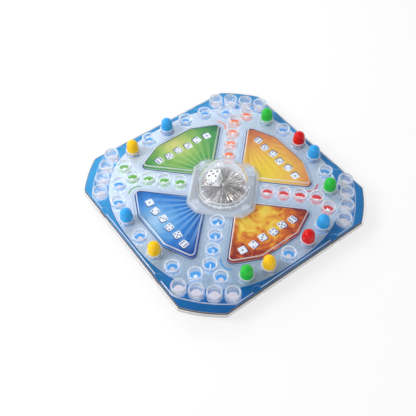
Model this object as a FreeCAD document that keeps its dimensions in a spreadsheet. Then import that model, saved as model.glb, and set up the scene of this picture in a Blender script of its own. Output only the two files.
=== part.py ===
# A pop up dice board game: a clear moulded board over a printed card, seated on a shallow tray.
# A clear dome in the middle is pressed to make the die hop, and pegs stand in rows of cups.
# Units are millimetres. The origin is the centre of the tray's underside, Z is up, and X and Y
# run along the board's long sides. One quarter of the board repeats four times about Z.
import FreeCAD, Part
import math
import os
import Sketcher

doc = FreeCAD.newDocument("pop_up_dice_game")
sheet = doc.addObject("Spreadsheet::Sheet", "Sheet")

SIZES = {
    # Board outline: a square whose corners are cut by one large circle. A share is of half the side
    "board_half": 110.0,
    "corner_share": 1.2346,
    "plate_thickness": 1.0,
    "skirt_wall": 1.8,
    "skirt_drop": 3.8,
    "platform_inset": 3.8,
    "platform_corner_share": 1.1437,
    "platform_rise": 0.7,
    # Tray under the board
    "tray_height": 13.4,
    "tray_inset": 8.5,
    "tray_floor": 1.8,
    "tray_wall": 2.0,
    "ledge_thickness": 1.6,
    "lip_wall": 1.6,
    "lip_drop": 2.8,
    "rib_thickness": 1.6,
    "well_radius": 30.0,
    "tower_radius": 4.5,
    "tower_height": 9.0,
    # Snap lugs on the tray, slots in the skirt and the notches above them
    "snap_share": 0.4091,
    "notch_width": 8.6,
    "lug_width": 7.6,
    "lug_height": 1.2,
    "lug_reach": 1.2,
    # Printed card
    "card_thickness": 0.6,
    "card_play": 0.1,
    "card_margin": 2.5,
    # Windows over the four coloured panels
    "window_flat_share": 0.1909,
    "window_corner_share": 0.4564,
    "window_space": 4.1,
    "window_rise": 2.5,
    "window_round": 5.0,
    "window_bevel": 1.6,
    "arm_half": 14.0,
    # Cups, whose radius follows from the pitch that the arm leaves beside the popper
    "cup_space": 0.4,
    "cup_taper": 0.3,
    "cup_wall": 1.8,
    "cup_height": 4.7,
    "start_cup_height": 6.2,
    "cup_lead_in": 0.4,
    # Places of the cups, as shares of half the board's side
    "track_row_share": 0.8682,
    "near_x_share": 0.2073,
    "near_y_share": 0.8618,
    "far_x_share": 0.4055,
    "far_y_share": 0.8255,
    "turn_x_share": 0.5727,
    "turn_y_share": 0.7173,
    "finish_last_share": 0.81,
    "start_row_share": 1.0636,
    "start_row_back": 1.7,
    "housing_space": 0.9,
    # Popper housing
    "housing_half": 33.6,
    "housing_corner": 40.4,
    "housing_height": 4.0,
    "housing_slope": 38.0,
    "housing_wall": 1.6,
    "housing_round": 3.0,
    "post_ring": 33.4,
    "post_radius": 3.5,
    "post_cap": 0.8,
    "dimple_radius": 1.8,
    "dimple_depth": 0.4,
    "spigot_radius": 2.5,
    # Dome and the floor that the die rests on
    "dome_radius": 24.0,
    "dome_wall": 1.5,
    "dome_neck": 5.0,
    "dome_ring_gap": 0.8,
    "flange_reach": 2.5,
    "flange_thickness": 1.3,
    "floor_rim_thickness": 1.2,
    "floor_shell": 1.2,
    "floor_foot_radius": 20.5,
    "floor_crown_radius": 3.0,
    "floor_rise": 4.6,
    "flute_start": 6.6,
    "flute_radius": 0.9,
    "flute_depth": 0.35,
    "plunger_radius": 4.0,
    # Bowed steel strip
    "strip_half_length": 25.0,
    "strip_width": 12.0,
    "strip_thickness": 0.4,
    "strip_bow": 4.0,
    "strip_seat": 4.2,
    "strip_seat_length": 3.0,
    "strip_stop": 1.8,
    # Die
    "die_side": 12.0,
    "die_round": 1.4,
    "pip_radius": 1.5,
    "pip_depth": 0.5,
    "pip_spread": 3.1,
    "die_orbit": 7.6,
    "die_bearing": 209.0,
    # Pegs, whose cap stands inside its cup's rim
    "cap_margin": 1.0,
    "cap_taper": 0.5,
    "cap_height": 11.6,
    "stem_play": 0.4,
    "stem_length": 4.3,
    "stem_taper": 0.2,
    "peg_wall": 1.7,
    "peg_bore_depth": 11.0,
    # Screws
    "screw_head_radius": 2.5,
    "screw_head_height": 1.5,
    "screw_shank_radius": 1.2,
    "screw_length": 11.0,
    "recess_reach": 1.3,
    "recess_half_width": 0.3,
    "recess_depth": 0.8,
    # Clearances
    "sliding_gap": 0.3,
    "seat_gap": 0.2,
    "thread_gap": 0.1,
}

QUARTERS = 4
FLUTES = 24
DIAGONAL = math.sqrt(0.5)
TOLERANCE = 1e-4

# Places of the pips on each face, in steps of the pip spread
FACE_1 = [(0, 0)]
FACE_2 = [(-1, -1), (1, 1)]
FACE_3 = FACE_2 + FACE_1
FACE_4 = FACE_2 + [(-1, 1), (1, -1)]
FACE_5 = FACE_4 + FACE_1
FACE_6 = FACE_4 + [(-1, 0), (1, 0)]
DIE_FACES = [
    ("XY_Plane", FACE_5, FACE_2),
    ("XZ_Plane", FACE_3, FACE_4),
    ("YZ_Plane", FACE_1, FACE_6),
]
DIE_TURN_DEGREES = 35.0

# The seven cups of each side's row, side by side round the board, with the pegs that stand in them
PEG_ROWS = ["..b.y..", ".gy.rb.", "g.br.g.", "...b.y."]
PEG_LETTERS = {"b": "peg_blue", "y": "peg_yellow", "g": "peg_green", "r": "peg_red"}

for row, (alias, number) in enumerate(SIZES.items(), start=1):
    sheet.set(f"A{row}", alias)
    sheet.set(f"B{row}", str(number))
    sheet.setAlias(f"B{row}", alias)
doc.recompute()


class Size:
    """A length with the sheet expression that gives it, so a sketch is drawn and bound at once."""

    def __init__(self, text, value):
        self.text = text
        self.value = value

    def joined(self, sign, other, value):
        return Size(f"({self.text} {sign} {text_of(other)})", value)

    def __add__(self, other):
        return self.joined("+", other, self.value + value_of(other))

    def __sub__(self, other):
        return self.joined("-", other, self.value - value_of(other))

    def __mul__(self, other):
        return self.joined("*", other, self.value * value_of(other))

    def __truediv__(self, other):
        return self.joined("/", other, self.value / value_of(other))

    def __neg__(self):
        return Size(f"(0 - {self.text})", -self.value)


def text_of(number):
    return number.text if isinstance(number, Size) else repr(float(number))


def value_of(number):
    return number.value if isinstance(number, Size) else float(number)


def size(alias):
    """The named cell of the sheet."""
    return Size(f"Sheet.{alias}", float(sheet.get(alias)))


ZERO = Size("0", 0.0)

tray_top = size("tray_height")
card_top = tray_top + size("card_thickness")
plate_bottom = card_top + size("card_play")
plate_top = plate_bottom + size("plate_thickness")
platform_top = plate_top + size("platform_rise")
window_top = platform_top + size("window_rise")
housing_top = platform_top + size("housing_height")
housing_roof = housing_top - size("housing_wall")
flange_top = housing_roof - size("seat_gap")
flange_bottom = flange_top - size("flange_thickness")
floor_rim_bottom = flange_bottom - size("floor_rim_thickness")
floor_apex = flange_bottom + size("floor_rise")
dome_centre = flange_top + size("dome_neck")
dome_inner = size("dome_radius") - size("dome_wall")
ring_radius = size("dome_radius") + size("dome_ring_gap")
flange_radius = size("dome_radius") + size("flange_reach")
shaft_radius = flange_radius + size("dome_ring_gap")
strip_crown = size("strip_seat") + size("strip_bow") + size("strip_thickness")
board_corner = size("board_half") * size("corner_share")
skirt_inner = size("board_half") - size("skirt_wall")
skirt_inner_corner = board_corner - size("skirt_wall")
skirt_bottom = plate_bottom - size("skirt_drop")
lug_bottom = tray_top - size("lip_drop") + size("lug_height") / 2
floor_slope = size("floor_rise") / (size("floor_foot_radius") - size("floor_crown_radius"))
track_row = size("board_half") * size("track_row_share")
arm_space = size("housing_half") + size("housing_space")
pitch = (size("board_half") * size("finish_last_share") - arm_space) / (QUARTERS - 0.5)
cup_base_radius = pitch / 2 - size("cup_space")
cup_rim_radius = cup_base_radius - size("cup_taper")
cup_bore_radius = cup_rim_radius - size("cup_wall")
stem_radius = cup_bore_radius - size("stem_play")


def plane_of(body, role):
    return next(o for o in body.Origin.OriginFeatures if o.Role == role)


def new_body(label):
    body = doc.addObject("PartDesign::Body", label)
    body.Label = label
    return body


def place(thing, x=ZERO, y=ZERO, z=ZERO):
    for axis, length in zip("xyz", (x, y, z)):
        thing.setExpression(f"Placement.Base.{axis}", text_of(length))


class Drawing:
    """A sketch on one of its body's own planes, whose points are bound to the sheet."""

    def __init__(self, body, name, role="XY_Plane", lift=ZERO):
        self.sketch = body.newObject("Sketcher::SketchObject", name)
        self.sketch.AttachmentSupport = (plane_of(body, role), "")
        self.sketch.MapMode = "FlatFace"
        self.sketch.setExpression("AttachmentOffset.Base.z", text_of(lift))

    def bind(self, kind, *where, length):
        """Adds a constraint whose length follows the sheet."""
        index = self.sketch.addConstraint(
            Sketcher.Constraint(kind, *where, length.value)
        )
        self.sketch.setExpression(f"Constraints[{index}]", length.text)

    def pin(self, geometry, end, axis, length):
        """Holds one coordinate of a point, measured from the sketch's origin."""
        if abs(length.value) < TOLERANCE:
            across = -2 if axis == "X" else -1
            self.sketch.addConstraint(
                Sketcher.Constraint("PointOnObject", geometry, end, across)
            )
        elif length.value > 0:
            self.bind(f"Distance{axis}", -1, 1, geometry, end, length=length)
        else:
            self.bind(f"Distance{axis}", geometry, end, -1, 1, length=-length)

    def polygon(self, points):
        """A closed outline of straight lines through points given as (x, y)."""
        count = len(points)
        first = self.sketch.GeometryCount
        for i, (x, y) in enumerate(points):
            x2, y2 = points[(i + 1) % count]
            line = Part.LineSegment(vector(x, y), vector(x2, y2))
            self.sketch.addGeometry(line, False)
        for i, (x, y) in enumerate(points):
            before = first + (i - 1) % count
            self.join(before, 2, first + i, 1)
            self.pin(first + i, 1, "X", x)
            self.pin(first + i, 1, "Y", y)
        return self.sketch

    def join(self, a, end_a, b, end_b):
        self.sketch.addConstraint(
            Sketcher.Constraint("Coincident", a, end_a, b, end_b)
        )

    def rectangle(self, x0, x1, y0, y1):
        return self.polygon([(x0, y0), (x1, y0), (x1, y1), (x0, y1)])

    def circle(self, radius, x=ZERO, y=ZERO):
        shape = Part.Circle(vector(x, y), FreeCAD.Vector(0, 0, 1), radius.value)
        index = self.sketch.addGeometry(shape, False)
        self.pin(index, 3, "X", x)
        self.pin(index, 3, "Y", y)
        self.bind("Radius", index, length=radius)
        return self.sketch

    def cut_square(self, half, reach):
        """A square of that half-side whose four corners are cut by a circle of radius reach."""
        side = half.value
        run = math.sqrt(reach.value**2 - side**2)
        turn = math.atan2(run, side)
        first = self.sketch.GeometryCount
        for quarter in range(QUARTERS):
            spin = quarter * math.pi / 2
            self.sketch.addGeometry(
                Part.LineSegment(turned(side, -run, spin), turned(side, run, spin)),
                False,
            )
            circle = Part.Circle(
                FreeCAD.Vector(), FreeCAD.Vector(0, 0, 1), reach.value
            )
            self.sketch.addGeometry(
                Part.ArcOfCircle(circle, spin + turn, spin + math.pi / 2 - turn),
                False,
            )
        for quarter in range(QUARTERS):
            line = first + 2 * quarter
            arc = line + 1
            following = first + (2 * quarter + 2) % (2 * QUARTERS)
            self.join(line, 2, arc, 1)
            self.join(arc, 2, following, 1)
            self.join(arc, 3, -1, 1)
            upright = "Vertical" if quarter % 2 == 0 else "Horizontal"
            self.sketch.addConstraint(Sketcher.Constraint(upright, line))
            self.pin(
                line,
                1,
                "X" if quarter % 2 == 0 else "Y",
                half if quarter in (0, 1) else -half,
            )
            if quarter == 0:
                self.bind("Radius", arc, length=reach)
            else:
                self.sketch.addConstraint(
                    Sketcher.Constraint("Equal", first + 1, arc)
                )
        return self.sketch

    def dome_profile(self, centre, radius, points):
        """A closed half-section: a quarter arc from (radius, centre) up to the axis, then lines
        through the points, the first of them on the axis and the last at the arc's foot level."""
        circle = Part.Circle(
            vector(ZERO, centre), FreeCAD.Vector(0, 0, 1), radius.value
        )
        arc = self.sketch.addGeometry(
            Part.ArcOfCircle(circle, 0.0, math.pi / 2), False
        )
        corners = [(ZERO, centre + radius)] + points + [(radius, centre)]
        for (x, y), (x2, y2) in zip(corners, corners[1:]):
            line = Part.LineSegment(vector(x, y), vector(x2, y2))
            self.sketch.addGeometry(line, False)
        self.join(arc, 2, arc + 1, 1)
        for i, (x, y) in enumerate(points):
            self.join(arc + 1 + i, 2, arc + 2 + i, 1)
            self.pin(arc + 2 + i, 1, "X", x)
            self.pin(arc + 2 + i, 1, "Y", y)
        self.join(arc + len(corners) - 1, 2, arc, 1)
        self.pin(arc, 3, "X", ZERO)
        self.pin(arc, 3, "Y", centre)
        self.pin(arc, 2, "X", ZERO)
        self.pin(arc, 1, "Y", centre)
        self.bind("Radius", arc, length=radius)
        return self.sketch


def vector(x, y):
    return FreeCAD.Vector(value_of(x), value_of(y), 0)


def turned(x, y, angle):
    cosine, sine = math.cos(angle), math.sin(angle)
    return FreeCAD.Vector(x * cosine - y * sine, x * sine + y * cosine, 0)


def check_change(body, before, grows, name):
    """Stops the build where a feature added or cut nothing."""
    after = body.Shape.Volume
    if grows != (after > before):
        raise RuntimeError(f"{name} changed the volume from {before} to {after}")


def volume_of(body):
    return body.Shape.Volume if body.Tip else 0.0


def pad(body, name, sketch, length, slope=None, both_ways=False):
    before = volume_of(body)
    feature = body.newObject("PartDesign::Pad", name)
    feature.Profile = sketch
    feature.setExpression("Length", length.text)
    feature.Midplane = both_ways
    if slope is not None:
        feature.setExpression("TaperAngle", slope.text)
    doc.recompute()
    check_change(body, before, True, name)
    return feature


def pocket(body, name, sketch, depth, upward=False, slope=None):
    before = volume_of(body)
    feature = body.newObject("PartDesign::Pocket", name)
    feature.Profile = sketch
    feature.setExpression("Length", depth.text)
    feature.Reversed = upward
    if slope is not None:
        feature.setExpression("TaperAngle", slope.text)
    doc.recompute()
    check_change(body, before, False, name)
    return feature


def revolve(body, name, sketch):
    feature = body.newObject("PartDesign::Revolution", name)
    feature.Profile = sketch
    feature.ReferenceAxis = (sketch, ["V_Axis"])
    feature.Angle = 360.0
    doc.recompute()
    return feature


def repeat(body, name, feature, count=QUARTERS):
    """Repeats a feature evenly about the body's Z axis."""
    pattern = body.newObject("PartDesign::PolarPattern", name)
    pattern.Originals = [feature]
    pattern.Axis = (plane_of(body, "Z_Axis"), [""])
    pattern.Angle = 360.0
    pattern.Occurrences = count
    body.Tip = pattern
    doc.recompute()
    return pattern


def edges_where(shape, wanted):
    """Names of the edges whose two ends and middle pass a test."""
    names = []
    for i, edge in enumerate(shape.Edges, start=1):
        middle = edge.valueAt((edge.FirstParameter + edge.LastParameter) / 2)
        if wanted([v.Point for v in edge.Vertexes] + [middle]):
            names.append(f"Edge{i}")
    return names


def round_edges(body, name, wanted, radius):
    base = body.Tip
    feature = body.newObject("PartDesign::Fillet", name)
    feature.Base = (base, edges_where(base.Shape, wanted))
    feature.setExpression("Radius", radius.text)
    doc.recompute()
    return feature


def bevel_edges(body, name, wanted, length):
    base = body.Tip
    feature = body.newObject("PartDesign::Chamfer", name)
    feature.Base = (base, edges_where(base.Shape, wanted))
    feature.setExpression("Size", length.text)
    doc.recompute()
    return feature


def at_height(level):
    return lambda points: all(abs(p.z - level.value) < TOLERANCE for p in points)


def quarter_turn(spot, quarter):
    """Turns a place given as (x, y) by that many right angles about Z."""
    x, y = spot
    for _ in range(quarter):
        x, y = -y, x
    return x, y


def along_arm(reach, across):
    """A place beside the arm that runs to the board's +X -Y corner, in the board's axes."""
    return (reach + across) * DIAGONAL, (across - reach) * DIAGONAL


def track_spots():
    """The seven cups of the row along each side, from its left end, side by side round the board."""
    half = size("board_half")
    near = (half * size("near_x_share"), -half * size("near_y_share"))
    far = (half * size("far_x_share"), -half * size("far_y_share"))
    turn = (half * size("turn_x_share"), -half * size("turn_y_share"))
    quarter_row = [
        (-turn[0], turn[1]),
        (-far[0], far[1]),
        (-near[0], near[1]),
        (ZERO, -track_row),
        near,
        far,
        turn,
    ]
    return [
        [quarter_turn(spot, quarter) for spot in quarter_row]
        for quarter in range(QUARTERS)
    ]


def finish_spots():
    """Four cups in line along each arm."""
    arm = [along_arm(arm_space + pitch * (i + 0.5), ZERO) for i in range(4)]
    return [
        quarter_turn(spot, quarter) for quarter in range(QUARTERS) for spot in arm
    ]


def start_spots():
    """Four cups in a shallow bow at each corner."""
    middle_row = size("board_half") * size("start_row_share")
    outer_row = middle_row - size("start_row_back")
    corner = [
        along_arm(outer_row, pitch * -1.5),
        along_arm(middle_row, pitch * -0.5),
        along_arm(middle_row, pitch * 0.5),
        along_arm(outer_row, pitch * 1.5),
    ]
    return [
        quarter_turn(spot, quarter) for quarter in range(QUARTERS) for spot in corner
    ]


def post_spots():
    """The four screw posts of the popper, on the X and Y axes."""
    return [
        quarter_turn((size("post_ring"), ZERO), quarter) for quarter in range(QUARTERS)
    ]


def grouped(label, form, spots):
    """Like pieces of one form in one node, each moved to its place."""
    group = doc.addObject("Part::Feature", label)
    group.Label = label
    copies = []
    for x, y in spots:
        copy = form.Shape.copy()
        copy.translate(vector(x, y))
        copies.append(copy)
    group.Shape = Part.makeCompound(copies)
    group.Placement = FreeCAD.Placement()
    return group


def housing_outline(drawing, half, reach):
    """An eight-sided outline: a square turned by 45 degrees, its corners cut square to X and Y."""
    side = half * math.sqrt(2.0)
    step = side - reach
    return drawing.polygon(
        [
            (reach, -step),
            (reach, step),
            (step, reach),
            (-step, reach),
            (-reach, step),
            (-reach, -step),
            (-step, -reach),
            (step, -reach),
        ]
    )


def make_tray():
    """The shallow tray: floor, wall, a ledge with a lip under the board's rim, ribs that hold up
    the card, the popper's well, its screw towers and strip seats, and eight snap lugs."""
    body = new_body("base_tray")
    wall = size("board_half") - size("tray_inset")
    wall_corner = board_corner - size("tray_inset")
    inner = wall - size("tray_wall")
    inner_corner = wall_corner - size("tray_wall")
    edge = skirt_inner - size("sliding_gap")
    edge_corner = skirt_inner_corner - size("sliding_gap")
    floor = size("tray_floor")
    depth = tray_top - floor

    shell = Drawing(body, "shell_outline").cut_square(wall, wall_corner)
    pad(body, "shell", shell, tray_top)
    hollow = Drawing(body, "hollow_outline", lift=tray_top)
    pocket(body, "hollow", hollow.cut_square(inner, inner_corner), depth)

    ledge = Drawing(body, "ledge_outline", lift=tray_top - size("ledge_thickness"))
    ledge.cut_square(edge, edge_corner)
    ledge.cut_square(inner, inner_corner)
    pad(body, "ledge", ledge.sketch, size("ledge_thickness"))
    lip = Drawing(body, "lip_outline", lift=tray_top - size("lip_drop"))
    lip.cut_square(edge, edge_corner)
    lip.cut_square(edge - size("lip_wall"), edge_corner - size("lip_wall"))
    pad(body, "lip", lip.sketch, size("lip_drop"))

    well = Drawing(body, "well_outline", lift=floor)
    well.circle(size("well_radius") + size("rib_thickness"))
    well.circle(size("well_radius"))
    pad(body, "well", well.sketch, depth)
    half_rib = size("rib_thickness") / 2
    rib_start = size("well_radius") + half_rib
    rib = Drawing(body, "rib_outline", lift=floor)
    rib.rectangle(rib_start, inner + half_rib, -half_rib, half_rib)
    repeat(body, "ribs", pad(body, "rib", rib.sketch, depth))
    near = rib_start * DIAGONAL
    far = (inner_corner + half_rib) * DIAGONAL
    width = half_rib * DIAGONAL
    slant = Drawing(body, "slant_rib_outline", lift=floor)
    slant.polygon(
        [
            (near + width, near - width),
            (far + width, far - width),
            (far - width, far + width),
            (near - width, near + width),
        ]
    )
    repeat(body, "slant_ribs", pad(body, "slant_rib", slant.sketch, depth))

    tower = Drawing(body, "tower_outline", lift=floor)
    tower.circle(size("tower_radius"), x=size("post_ring"))
    tower_height = size("tower_height")
    repeat(body, "towers", pad(body, "tower", tower.sketch, tower_height - floor))
    head_seat = size("screw_head_height") + size("seat_gap")
    bores = {
        "spigot_seat": (size("spigot_radius") + size("seat_gap"), tray_top, tray_top - tower_height),
        "screw_bore": (size("screw_shank_radius") + size("thread_gap"), tower_height, tower_height),
        "head_seat": (size("screw_head_radius") + size("seat_gap"), head_seat, head_seat),
    }
    for name, (radius, top, cut_depth) in bores.items():
        bore = Drawing(body, f"{name}_outline", lift=top)
        bore.circle(radius, x=size("post_ring"))
        repeat(body, f"{name}s", pocket(body, name, bore.sketch, cut_depth))

    seat_end = size("strip_half_length") + size("sliding_gap") + size("strip_stop")
    seat_side = size("strip_width") / 2 + size("strip_stop")
    seat = Drawing(body, "strip_seat_outline", lift=floor)
    seat_start = size("strip_half_length") - size("strip_seat_length")
    seat.rectangle(seat_start, seat_end, -seat_side, seat_side)
    stop = Drawing(body, "strip_stop_outline", lift=floor)
    stop.rectangle(seat_end - size("strip_stop"), seat_end, -seat_side, seat_side)
    seat_rise = size("strip_seat") - floor
    stop_rise = seat_rise + size("strip_stop")
    repeat(body, "strip_seats", pad(body, "strip_seat", seat.sketch, seat_rise), count=2)
    repeat(body, "strip_stops", pad(body, "strip_stop", stop.sketch, stop_rise), count=2)

    lug = Drawing(body, "lug_outline", lift=lug_bottom)
    for side in (-1, 1):
        middle = size("board_half") * size("snap_share") * side
        half = size("lug_width") / 2
        root = edge - size("lip_wall") / 2
        lug.rectangle(root, edge + size("lug_reach"), middle - half, middle + half)
    repeat(body, "lugs", pad(body, "lug", lug.sketch, size("lug_height")))
    return body


def make_card():
    """The printed card, with a round hole for the popper and four for its spigots."""
    body = new_body("printed_card")
    edge = size("board_half") - size("card_margin")
    edge_corner = board_corner - size("card_margin")
    outline = Drawing(body, "card_outline", lift=tray_top)
    outline.cut_square(edge, edge_corner)
    outline.circle(shaft_radius)
    pad(body, "card", outline.sketch, size("card_thickness"))
    hole = Drawing(body, "spigot_hole_outline", lift=card_top)
    hole.circle(size("spigot_radius") + size("seat_gap"), x=size("post_ring"))
    repeat(body, "spigot_holes", pocket(body, "spigot_hole", hole.sketch, size("card_thickness")))
    return body


def make_board():
    """The clear board: a plate with a skirt round it, a raised platform under the cups, and four
    raised windows over the coloured panels."""
    body = new_body("clear_board")
    half = size("board_half")
    thickness = size("plate_thickness")
    plate = Drawing(body, "plate_outline", lift=plate_bottom)
    pad(body, "plate", plate.cut_square(half, board_corner), thickness)
    skirt = Drawing(body, "skirt_outline", lift=skirt_bottom)
    skirt.cut_square(half, board_corner)
    skirt.cut_square(skirt_inner, skirt_inner_corner)
    pad(body, "skirt", skirt.sketch, size("skirt_drop"))
    platform_half = half - size("platform_inset")
    platform = Drawing(body, "platform_outline", lift=plate_top)
    platform.cut_square(platform_half, half * size("platform_corner_share"))
    pad(body, "platform", platform.sketch, size("platform_rise"))

    arm_side = size("arm_half") * math.sqrt(2.0)
    wide = half * size("window_corner_share")
    flat = half * size("window_flat_share")
    reach = track_row - cup_base_radius - size("window_space")
    window = Drawing(body, "window_outline", lift=platform_top)
    window.polygon(
        [
            (-flat, -reach),
            (flat, -reach),
            (wide, -(wide + arm_side)),
            (ZERO, -arm_side),
            (-wide, -(wide + arm_side)),
        ]
    )
    repeat(body, "windows", pad(body, "window", window.sketch, size("window_rise")))

    def upright(points):
        """True for a window's upright edges, but not for the one under the popper."""
        low, high = sorted((points[0].z, points[-2].z))
        starts = abs(low - platform_top.value) < TOLERANCE
        ends = abs(high - window_top.value) < TOLERANCE
        return starts and ends and points[0].Length > shaft_radius.value

    round_edges(body, "window_corners", upright, size("window_round"))
    bevel_edges(body, "window_bevels", at_height(window_top), size("window_bevel"))

    gap = size("seat_gap")
    seat = Drawing(body, "housing_seat_outline", lift=window_top)
    housing_outline(seat, size("housing_half") + gap, size("housing_corner") + gap)
    pocket(body, "housing_seat", seat.sketch, size("window_rise"))
    shaft = Drawing(body, "shaft_outline", lift=platform_top)
    shaft.circle(shaft_radius)
    pocket(body, "shaft", shaft.sketch, platform_top - plate_bottom)
    hole = Drawing(body, "spigot_hole_outline", lift=platform_top)
    hole.circle(size("spigot_radius") + gap, x=size("post_ring"))
    repeat(body, "spigot_holes", pocket(body, "spigot_hole", hole.sketch, platform_top - plate_bottom))

    notch = Drawing(body, "notch_outline", lift=platform_top)
    slot = Drawing(body, "slot_outline", lift=lug_bottom + size("lug_height") + gap)
    past = size("sliding_gap")
    for side in (-1, 1):
        middle = size("board_half") * size("snap_share") * side
        half_width = size("notch_width") / 2
        notch.circle(half_width, x=platform_half, y=middle)
        slot.rectangle(skirt_inner - past, half + past, middle - half_width, middle + half_width)
    repeat(body, "notches", pocket(body, "notch", notch.sketch, size("platform_rise")))
    slot_height = size("lug_height") + gap * 2
    repeat(body, "slots", pocket(body, "slot", slot.sketch, slot_height))
    return body


def make_cup(label, height):
    """One cup: a short tube, a little wider at its foot, with a lead-in at its mouth."""
    body = new_body(label)
    lead_in = size("cup_lead_in")
    wall = Drawing(body, "wall_section", role="XZ_Plane")
    wall.polygon(
        [
            (cup_bore_radius, ZERO),
            (cup_base_radius, ZERO),
            (cup_rim_radius, height),
            (cup_bore_radius + lead_in, height),
            (cup_bore_radius, height - lead_in),
        ]
    )
    revolve(body, "wall", wall.sketch)
    place(body, z=platform_top)
    return body


def make_housing():
    """The popper's clear housing: a low eight-sided box with sloping sides, a round opening for the
    dome, and four posts whose spigots reach down to the tray's towers."""
    body = new_body("popper_housing")
    wall = size("housing_wall")
    outline = Drawing(body, "outer_outline", lift=platform_top)
    housing_outline(outline, size("housing_half"), size("housing_corner"))
    pad(body, "block", outline.sketch, size("housing_height"), slope=-size("housing_slope"))

    def sloping(points):
        return abs(points[0].z - points[-2].z) > size("housing_height").value / 2

    round_edges(body, "block_corners", sloping, size("housing_round"))
    cavity = Drawing(body, "cavity_outline", lift=platform_top)
    housing_outline(cavity, size("housing_half") - wall, size("housing_corner") - wall)
    cavity_depth = size("housing_height") - wall
    pocket(body, "cavity", cavity.sketch, cavity_depth, upward=True, slope=-size("housing_slope"))
    opening = Drawing(body, "opening_outline", lift=housing_top)
    pocket(body, "opening", opening.circle(ring_radius), wall)
    ring = size("post_ring")
    post = Drawing(body, "post_outline", lift=platform_top)
    post.circle(size("post_radius"), x=ring)
    repeat(body, "posts", pad(body, "post", post.sketch, cavity_depth))
    cap = Drawing(body, "cap_outline", lift=housing_top)
    cap.circle(size("post_radius"), x=ring)
    repeat(body, "caps", pad(body, "cap", cap.sketch, size("post_cap")))
    dimple = Drawing(body, "dimple_outline", lift=housing_top + size("post_cap"))
    dimple.circle(size("dimple_radius"), x=ring)
    repeat(body, "dimples", pocket(body, "dimple", dimple.sketch, size("dimple_depth")))
    tower_height = size("tower_height")
    spigot = Drawing(body, "spigot_outline", lift=tower_height)
    spigot.circle(size("spigot_radius"), x=ring)
    repeat(body, "spigots", pad(body, "spigot", spigot.sketch, platform_top - tower_height))
    screw_end = size("seat_gap") * 2 + size("screw_head_height") + size("screw_length")
    pilot = Drawing(body, "pilot_outline", lift=tower_height)
    pilot.circle(size("screw_shank_radius") + size("thread_gap"), x=ring)
    bite = screw_end - tower_height
    repeat(body, "pilots", pocket(body, "pilot", pilot.sketch, bite, upward=True))
    return body


def make_dome():
    """The clear dome, with a short neck and a flange that the housing holds down."""
    body = new_body("dome")
    outer = Drawing(body, "outer_section", role="XZ_Plane")
    outer.dome_profile(
        dome_centre,
        size("dome_radius"),
        [
            (ZERO, flange_bottom),
            (flange_radius, flange_bottom),
            (flange_radius, flange_top),
            (size("dome_radius"), flange_top),
        ],
    )
    revolve(body, "outside", outer.sketch)
    inner = Drawing(body, "inner_section", role="XZ_Plane")
    inner.dome_profile(
        dome_centre,
        dome_inner,
        [(ZERO, flange_bottom), (dome_inner, flange_bottom)],
    )
    hollow_out(body, "inside", inner.sketch)
    return body


def hollow_out(body, name, sketch):
    before = volume_of(body)
    feature = body.newObject("PartDesign::Groove", name)
    feature.Profile = sketch
    feature.ReferenceAxis = (sketch, ["V_Axis"])
    feature.Angle = 360.0
    doc.recompute()
    check_change(body, before, False, name)
    return feature


def make_dice_floor():
    """The silvery floor under the dome: a fluted cone with a flat rim below the dome's flange, and
    a plunger that bears on the steel strip."""
    body = new_body("dice_floor")
    foot = size("floor_foot_radius")
    crown = size("floor_crown_radius")
    plunger = size("plunger_radius")
    shell = size("floor_shell")
    root = floor_apex - floor_slope * (plunger - crown) - shell
    plunger_end = strip_crown + size("sliding_gap")
    section = Drawing(body, "floor_section", role="XZ_Plane")
    section.polygon(
        [
            (ZERO, floor_apex),
            (ZERO, plunger_end),
            (plunger, plunger_end),
            (plunger, root),
            (foot, floor_rim_bottom),
            (flange_radius, floor_rim_bottom),
            (flange_radius, flange_bottom),
            (foot, flange_bottom),
            (crown, floor_apex),
        ]
    )
    revolve(body, "cone", section.sketch)
    before = body.Shape.Volume
    flute = body.newObject("PartDesign::SubtractiveCylinder", "flute")
    flute_start = size("flute_start")
    start_height = floor_apex - floor_slope * (flute_start - crown)
    stand_off = size("flute_radius") - size("flute_depth")
    angle = math.atan(floor_slope.value)
    flute.setExpression("Radius", size("flute_radius").text)
    run = foot - flute_start
    flute.setExpression("Height", (run / math.cos(angle)).text)
    spin = FreeCAD.Rotation(FreeCAD.Vector(0, 1, 0), 90 + math.degrees(angle))
    flute.Placement = FreeCAD.Placement(FreeCAD.Vector(), spin)
    place(
        flute,
        x=flute_start + stand_off * math.sin(angle),
        z=start_height + stand_off * math.cos(angle),
    )
    repeat(body, "flutes", flute, count=FLUTES)
    check_change(body, before, False, "flutes")
    return body


def make_strip():
    """The bowed steel strip that clicks and throws the floor back up."""
    half = size("strip_half_length")
    bow = size("strip_bow")
    thickness = size("strip_thickness")
    width = size("strip_width")
    radius = (half * half + bow * bow) / (bow * 2)
    centre = size("strip_seat") + bow - radius
    rings = []
    for name, reach in (("strip_outside", radius + thickness), ("strip_inside", radius)):
        cylinder = doc.addObject("Part::Cylinder", name)
        cylinder.Placement = FreeCAD.Placement(
            FreeCAD.Vector(), FreeCAD.Rotation(FreeCAD.Vector(1, 0, 0), -90)
        )
        cylinder.setExpression("Radius", reach.text)
        cylinder.setExpression("Height", width.text)
        place(cylinder, y=-width / 2, z=centre)
        rings.append(cylinder)
    band = doc.addObject("Part::Cut", "strip_band")
    band.Base, band.Tool = rings
    blank = doc.addObject("Part::Box", "strip_blank")
    blank.setExpression("Length", (half * 2).text)
    blank.setExpression("Width", width.text)
    blank.setExpression("Height", (bow + thickness * 2).text)
    place(blank, x=-half, y=-width / 2, z=size("strip_seat") - thickness / 2)
    strip = doc.addObject("Part::Common", "snap_strip")
    strip.Label = "snap_strip"
    strip.Base, strip.Tool = band, blank
    doc.recompute()
    return strip


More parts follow.
